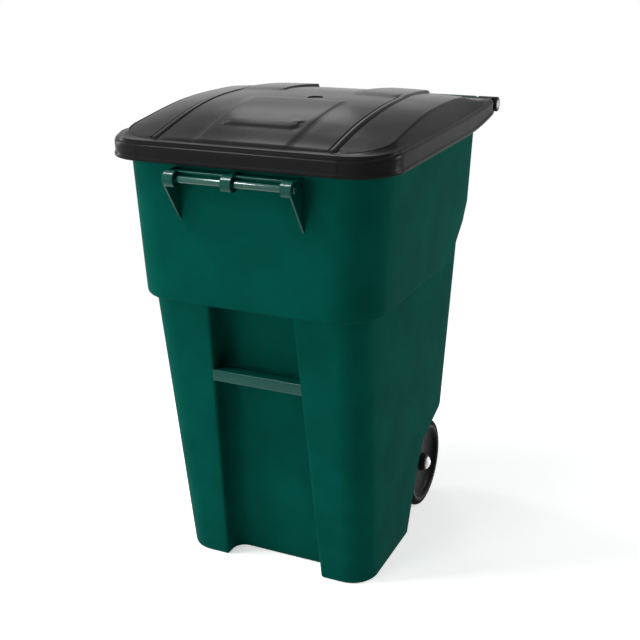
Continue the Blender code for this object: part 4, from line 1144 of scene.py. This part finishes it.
def make_lid(charcoal):
    """Domed lid: a crown grid, its edge drawn out ring by ring, then given its wall."""
    rows = crown_rows()
    table = [[(x, y, crown_height(x, y)) for x in crown_columns(y)] for y in rows]
    across = len(table[0])
    bpy.ops.mesh.primitive_grid_add(x_subdivisions=across - 1, y_subdivisions=len(rows) - 1)
    piece = bpy.context.object
    mesh = piece.data
    mesh.vertices.foreach_set("co", [value for row in table for point in row for value in point])
    last = (len(rows) - 1) * across
    middle_rows = range(across, last, across)
    border = [*range(across), *[row + across - 1 for row in middle_rows]]
    border += [*range(last + across - 1, last - 1, -1), *reversed(middle_rows)]
    crown_edge = [tuple(mesh.vertices[index].co) for index in border]
    tracks = [track_at(y, x / half_width(y, CROWN_BOX)) for x, y, _ in crown_edge]
    bpy.ops.object.mode_set(mode="EDIT")
    bpy.ops.mesh.select_all(action="SELECT")
    bpy.ops.mesh.duplicate()
    bpy.ops.object.mode_set(mode="OBJECT")
    for corner in mesh.vertices:
        if corner.select:
            corner.co.z = crown_base(corner.co.x, corner.co.y) - LID_WALL
    order = mesh.attributes.new("order", "INT", "POINT")
    for step, index in enumerate(border):
        order.data[index].value = step
    chosen = set(border)
    sides = {frozenset((border[step - 1], border[step])) for step in range(len(border))}
    for face in mesh.polygons:
        face.select = False
    for corner in mesh.vertices:
        corner.select = corner.index in chosen
    for edge in mesh.edges:
        edge.select = frozenset(edge.vertices) in sides
    for ring in edge_rings(tracks, crown_edge) + inside_rings(tracks, crown_edge):
        bpy.ops.object.mode_set(mode="EDIT")
        bpy.ops.mesh.select_mode(type="EDGE")
        bpy.ops.mesh.extrude_region_move()
        bpy.ops.object.mode_set(mode="OBJECT")
        order = mesh.attributes["order"]
        for corner in mesh.vertices:
            if corner.select:
                corner.co = ring[order.data[corner.index].value]
    mesh.attributes.remove(mesh.attributes["order"])
    bpy.ops.object.mode_set(mode="EDIT")
    bpy.ops.mesh.select_all(action="SELECT")
    bpy.ops.mesh.remove_doubles(threshold=0.00001)
    bpy.ops.mesh.normals_make_consistent(inside=False)
    bpy.ops.object.mode_set(mode="OBJECT")
    notch = HANDLE_SPAN / 2 + KNUCKLE_GAP - CLEAR
    low, high = HINGE_Z - SKIRT_DROP * 2, HINGE_Z + DOME_HEIGHT
    rear = HANDLE_Y + HANDLE_RADIUS * 2
    gate_x, gate_y = GATE_PLACE
    gate_z = crown_height(gate_x, gate_y) - GATE_DEPTH
    bpy.ops.mesh.primitive_cylinder_add(
        vertices=64, radius=GATE_RADIUS, depth=GATE_RADIUS, location=(gate_x, gate_y, gate_z + GATE_RADIUS / 2),
    )
    carve(piece, [bpy.context.object, plate(
        "notch", [(LID_EDGE_Y, low), (rear, low), (rear, high), (LID_EDGE_Y, high)], -notch, notch,
    )])
    clean(piece, 38)
    dress(piece, "lid_shell", charcoal, "lid_body")
    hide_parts("lid")


def make_knuckles(charcoal):
    """Hinge knuckles at the lid's rear corners, with their necks."""
    inner = HANDLE_SPAN / 2 + KNUCKLE_GAP
    front = HANDLE_Y - KNUCKLE_RADIUS * 2
    for side, word in ((-1, "left"), (1, "right")):
        ends = sorted((side * inner, side * (LID_HALF - CLEAR)))
        barrel = bar("barrel", HANDLE_Y, HINGE_Z, KNUCKLE_RADIUS, *ends)
        neck = plate("neck", [
            (front, flange_height(front) - LID_WALL / 2), (HANDLE_Y, HINGE_Z + KNUCKLE_RADIUS / 2),
            (HANDLE_Y, HINGE_Z + KNUCKLE_RADIUS - CLEAR), (front, flange_height(front) + CLEAR),
        ], *sorted((side * (inner + CLEAR), side * (LID_HALF - LID_REAR_CORNER / 2))))
        carve(barrel, [neck], "UNION")
        head = (PIN_HIGH.z - PIN_LOW.z) / 2 + CLEAR
        bore = bar("bore", HANDLE_Y, HINGE_Z, head * 5 / 9, *sorted((side * (inner - OVERRUN), side)), 32, 0)
        seat = bar("seat", HANDLE_Y, HINGE_Z, head, *sorted((side * (LID_HALF - 0.0036), side)), 32, 0)
        carve(barrel, [bore, seat])
        dress(clean(barrel), f"lid_knuckle_{word}", charcoal, "lid_body")


def wheel_profile():
    """Half section of the wheel's web, dished on its outer side."""
    hub_in, hub_out = WHEEL_LOW.x, WHEEL_HIGH.x
    rim_in, rim_out = TYRE_LOW.x, TYRE_HIGH.x
    seat = (WHEEL_HIGH.z - WHEEL_LOW.z) / 2
    bore, hub = 0.0114, 0.019
    dish = rim_out - 0.0125
    return [
        (hub_in, bore), (hub_out, bore), (hub_out, hub - 0.0025), (hub_out - 0.0008, hub - 0.0008),
        (hub_out - 0.0025, hub), (dish + 0.006, hub + 0.0012), (dish + 0.002, hub + 0.003),
        (dish, hub + 0.008), (dish - 0.0012, hub + 0.03), (dish, seat - 0.022), (dish + 0.0015, seat - 0.014),
        (dish + 0.0045, seat - 0.0098), (rim_out - 0.002, seat - 0.0075), (rim_out - 0.0005, seat - 0.0065),
        (rim_out, seat - 0.005), (rim_out, seat), (rim_in, seat), (rim_in, seat - 0.006),
        (rim_in + 0.004, seat - 0.0085), (dish - 0.008, seat - 0.014), (dish - 0.0085, hub + 0.03),
        (dish - 0.012, hub + 0.006), (hub_in + 0.003, hub), (hub_in, hub - 0.003),
    ]


def tyre_profile():
    """Section of the tyre: rounded shoulders and a flat tread."""
    left, right = TYRE_LOW.x, TYRE_HIGH.x
    seat = (WHEEL_HIGH.z - WHEEL_LOW.z) / 2 + CLEAR
    round_off = 0.009
    points = [(right, seat)]
    for turn in range(0, 91, 15):
        angle = math.radians(turn)
        points.append((
            right - round_off + round_off * math.cos(angle),
            WHEEL_RADIUS - round_off + round_off * math.sin(angle),
        ))
    mirrored = [(left + right - x, radius) for x, radius in points[::-1]]
    return points + mirrored


def make_wheels(black, rubber, zinc):
    """Wheels, tyres and caps of both sides."""
    cap_radius = (CAP_HIGH.z - CAP_LOW.z) / 2
    dome = cap_radius * 0.66
    cap = [(CAP_LOW.x, 0.0083), (CAP_LOW.x, cap_radius), (CAP_LOW.x + 0.0015, cap_radius)]
    for turn in (0, 18, 36, 54, 72, 86):
        angle = math.radians(turn)
        height = CAP_HIGH.x - CAP_LOW.x - 0.0015
        cap.append((CAP_LOW.x + 0.0015 + height * math.sin(angle), dome * math.cos(angle)))
    cap += [(CAP_HIGH.x, 0.0002), (AXLE_HIGH.x + CLEAR, 0.0002), (AXLE_HIGH.x + CLEAR, 0.0083)]
    for side, word in ((1, "right"), (-1, "left")):
        body = f"wheel_set_{word}"
        sections = (
            (wheel_profile(), "wheel_disc", black, "wheel_plastic", "wheel", body),
            (tyre_profile(), "wheel_tyre", rubber, "tyre_rubber", "tyre", body),
            (cap, "push_cap", zinc, "cap_steel", "axle_cap", None),
        )
        for profile, name, material, slot, node, rider in sections:
            piece = spun(name, [(side * x, radius) for x, radius in profile])
            rider = rider or frame["nodes"][f"{node}_{word}"]["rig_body"]
            dress(clean(piece, 40), f"{name}_{word}", material, rider)
            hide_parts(f"{node}_{word}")


def finish_nodes(materials):
    """Give each CAD node that stays its material."""
    for node, material in materials.items():
        for word in ("", "_left", "_right"):
            item = frame["nodes"].get(node + word)
            if item:
                item.data.materials.clear()
                item.data.materials.append(material)


def background_rays(tree):
    """1 for the rays that show the white background: camera, glossy and transmission rays."""
    path = add_node(tree, "ShaderNodeLightPath")
    sight = add_node(tree, "ShaderNodeMath", {
        0: path.outputs["Is Camera Ray"], 1: path.outputs["Is Glossy Ray"],
    }, operation="MAXIMUM")
    return add_node(tree, "ShaderNodeMath", {
        0: sight.outputs[0], 1: path.outputs["Is Transmission Ray"],
    }, operation="MAXIMUM").outputs[0]


def make_floor():
    """Pale floor that fades to white away from the part, so that only the shadow shows."""
    bpy.ops.mesh.primitive_plane_add(size=80, location=(0, 0, 0))
    floor = bpy.context.object
    floor.name = "floor"
    material = bpy.data.materials.new("pale_floor")
    material.use_nodes = True
    tree = material.node_tree
    shader = tree.nodes["Principled BSDF"]
    shader.inputs["Base Color"].default_value = linear("F4F4F4")
    shader.inputs["Roughness"].default_value = 0.9
    shader.inputs["Specular IOR Level"].default_value = 0.2
    place = add_node(tree, "ShaderNodeTexCoord").outputs["Object"]
    away = add_node(tree, "ShaderNodeVectorMath", {"Vector": place}, operation="LENGTH")
    fade = add_node(tree, "ShaderNodeMapRange", {
        "Value": away.outputs["Value"], "From Min": 0.5, "From Max": 1.6, "To Min": 0.0, "To Max": 1.0,
    }, interpolation_type="SMOOTHSTEP")
    sight = background_rays(tree)
    seen = add_node(tree, "ShaderNodeMath", {0: fade.outputs["Result"], 1: sight}, operation="MULTIPLY")
    white = add_node(tree, "ShaderNodeEmission", {"Color": (1, 1, 1, 1), "Strength": 1.0})
    lift = add_node(tree, "ShaderNodeEmission", {"Color": (1, 1, 1, 1), "Strength": sight})
    lift.inputs["Color"].default_value = (0.55, 0.55, 0.55, 1)
    lifted = add_node(tree, "ShaderNodeAddShader", {0: shader.outputs[0], 1: lift.outputs[0]})
    mix = add_node(tree, "ShaderNodeMixShader", {0: seen.outputs[0], 1: lifted.outputs[0], 2: white.outputs[0]})
    tree.links.new(mix.outputs[0], tree.nodes["Material Output"].inputs["Surface"])
    floor.data.materials.append(material)


def make_world():
    """Soft grey surroundings that the camera and reflections see as white."""
    world = bpy.data.worlds.new("studio")
    bpy.context.scene.world = world
    world.use_nodes = True
    tree = world.node_tree
    soft = tree.nodes["Background"]
    soft.inputs["Color"].default_value = (0.9, 0.95, 1.0, 1)
    soft.inputs["Strength"].default_value = 0.12
    white = add_node(tree, "ShaderNodeBackground", {"Color": (1, 1, 1, 1), "Strength": 1.0})
    mix = add_node(tree, "ShaderNodeMixShader", {0: background_rays(tree)})
    tree.links.new(soft.outputs[0], mix.inputs[1])
    tree.links.new(white.outputs[0], mix.inputs[2])
    tree.links.new(mix.outputs[0], tree.nodes["World Output"].inputs["Surface"])


def add_softbox(name, place, target, width, height, power, glossy=True):
    """Rectangular studio light aimed at a point."""
    lamp = bpy.data.lights.new(name, "AREA")
    lamp.shape = "RECTANGLE"
    lamp.size = width
    lamp.size_y = height
    lamp.energy = power
    item = bpy.data.objects.new(name, lamp)
    bpy.context.scene.collection.objects.link(item)
    item.location = place
    item.visible_glossy = glossy
    item.rotation_euler = (Vector(target) - Vector(place)).to_track_quat("-Z", "Y").to_euler()


def make_camera():
    """Camera at the photograph's place."""
    camera = bpy.data.cameras.new("camera")
    camera.lens = CAMERA_LENS
    camera.sensor_width = SENSOR
    camera.clip_end = 50
    item = bpy.data.objects.new("camera", camera)
    bpy.context.scene.collection.objects.link(item)
    turn = Matrix.Rotation(math.radians(CAMERA_TURN), 4, "Z")
    tilt = Matrix.Rotation(math.radians(CAMERA_TILT), 4, "X")
    roll = Matrix.Rotation(math.radians(CAMERA_ROLL), 4, "Z")
    item.matrix_world = Matrix.Translation(CAMERA_PLACE) @ turn @ tilt @ roll
    bpy.context.scene.camera = item


green = green_moulding()
handled = handled_green()
coated_bar = green_powder_coat()

make_bin(green)
make_grip(handled)
make_lift_group(handled, coated_bar)
make_handle(handled)
make_brackets(green)
charcoal = charcoal_moulding()
make_lid(charcoal)
make_knuckles(charcoal)
zinc = zinc_plate()
make_wheels(black_moulding(), black_rubber(), zinc)
steel = drawn_steel()
bush = turned_nylon()
finish_nodes({
    "axle": steel, "hinge_pin": steel, "axle_washer": zinc, "axle_spacer": black_nylon(),
    "hub_bush_inner": bush, "hub_bush_outer": bush,
})
make_floor()
make_world()
make_camera()
add_softbox("left_key", (-3.2, -1.9, 1.7), (0, 0, 0.55), 1.6, 2.4, 66, False)
add_softbox("front_fill", (-1.5, -3.4, 1.1), (0, 0, 0.5), 1.6, 1.6, 52, False)
add_softbox("left_sheen", (-3.4, 0.4, 1.6), (0, 0, 0.6), 0.7, 2.2, 30)
add_softbox("right_side", (2.95, 1.8, 1.4), (0, 0, 0.5), 0.8, 1.8, 64)
add_softbox("front_top", (-1.35, -1.0, 3.3), (0, -0.3, 0.93), 1.2, 0.2, 80)
add_softbox("crown_back", (-1.1, 1.9, 2.3), (0.03, -0.1, 0.97), 0.7, 0.5, 4.5)
add_softbox("back_top", (-1.5, 3.2, 1.9), (0, 0, 0.95), 1.6, 1.0, 1.1)
bpy.context.scene.view_settings.view_transform = "Standard"
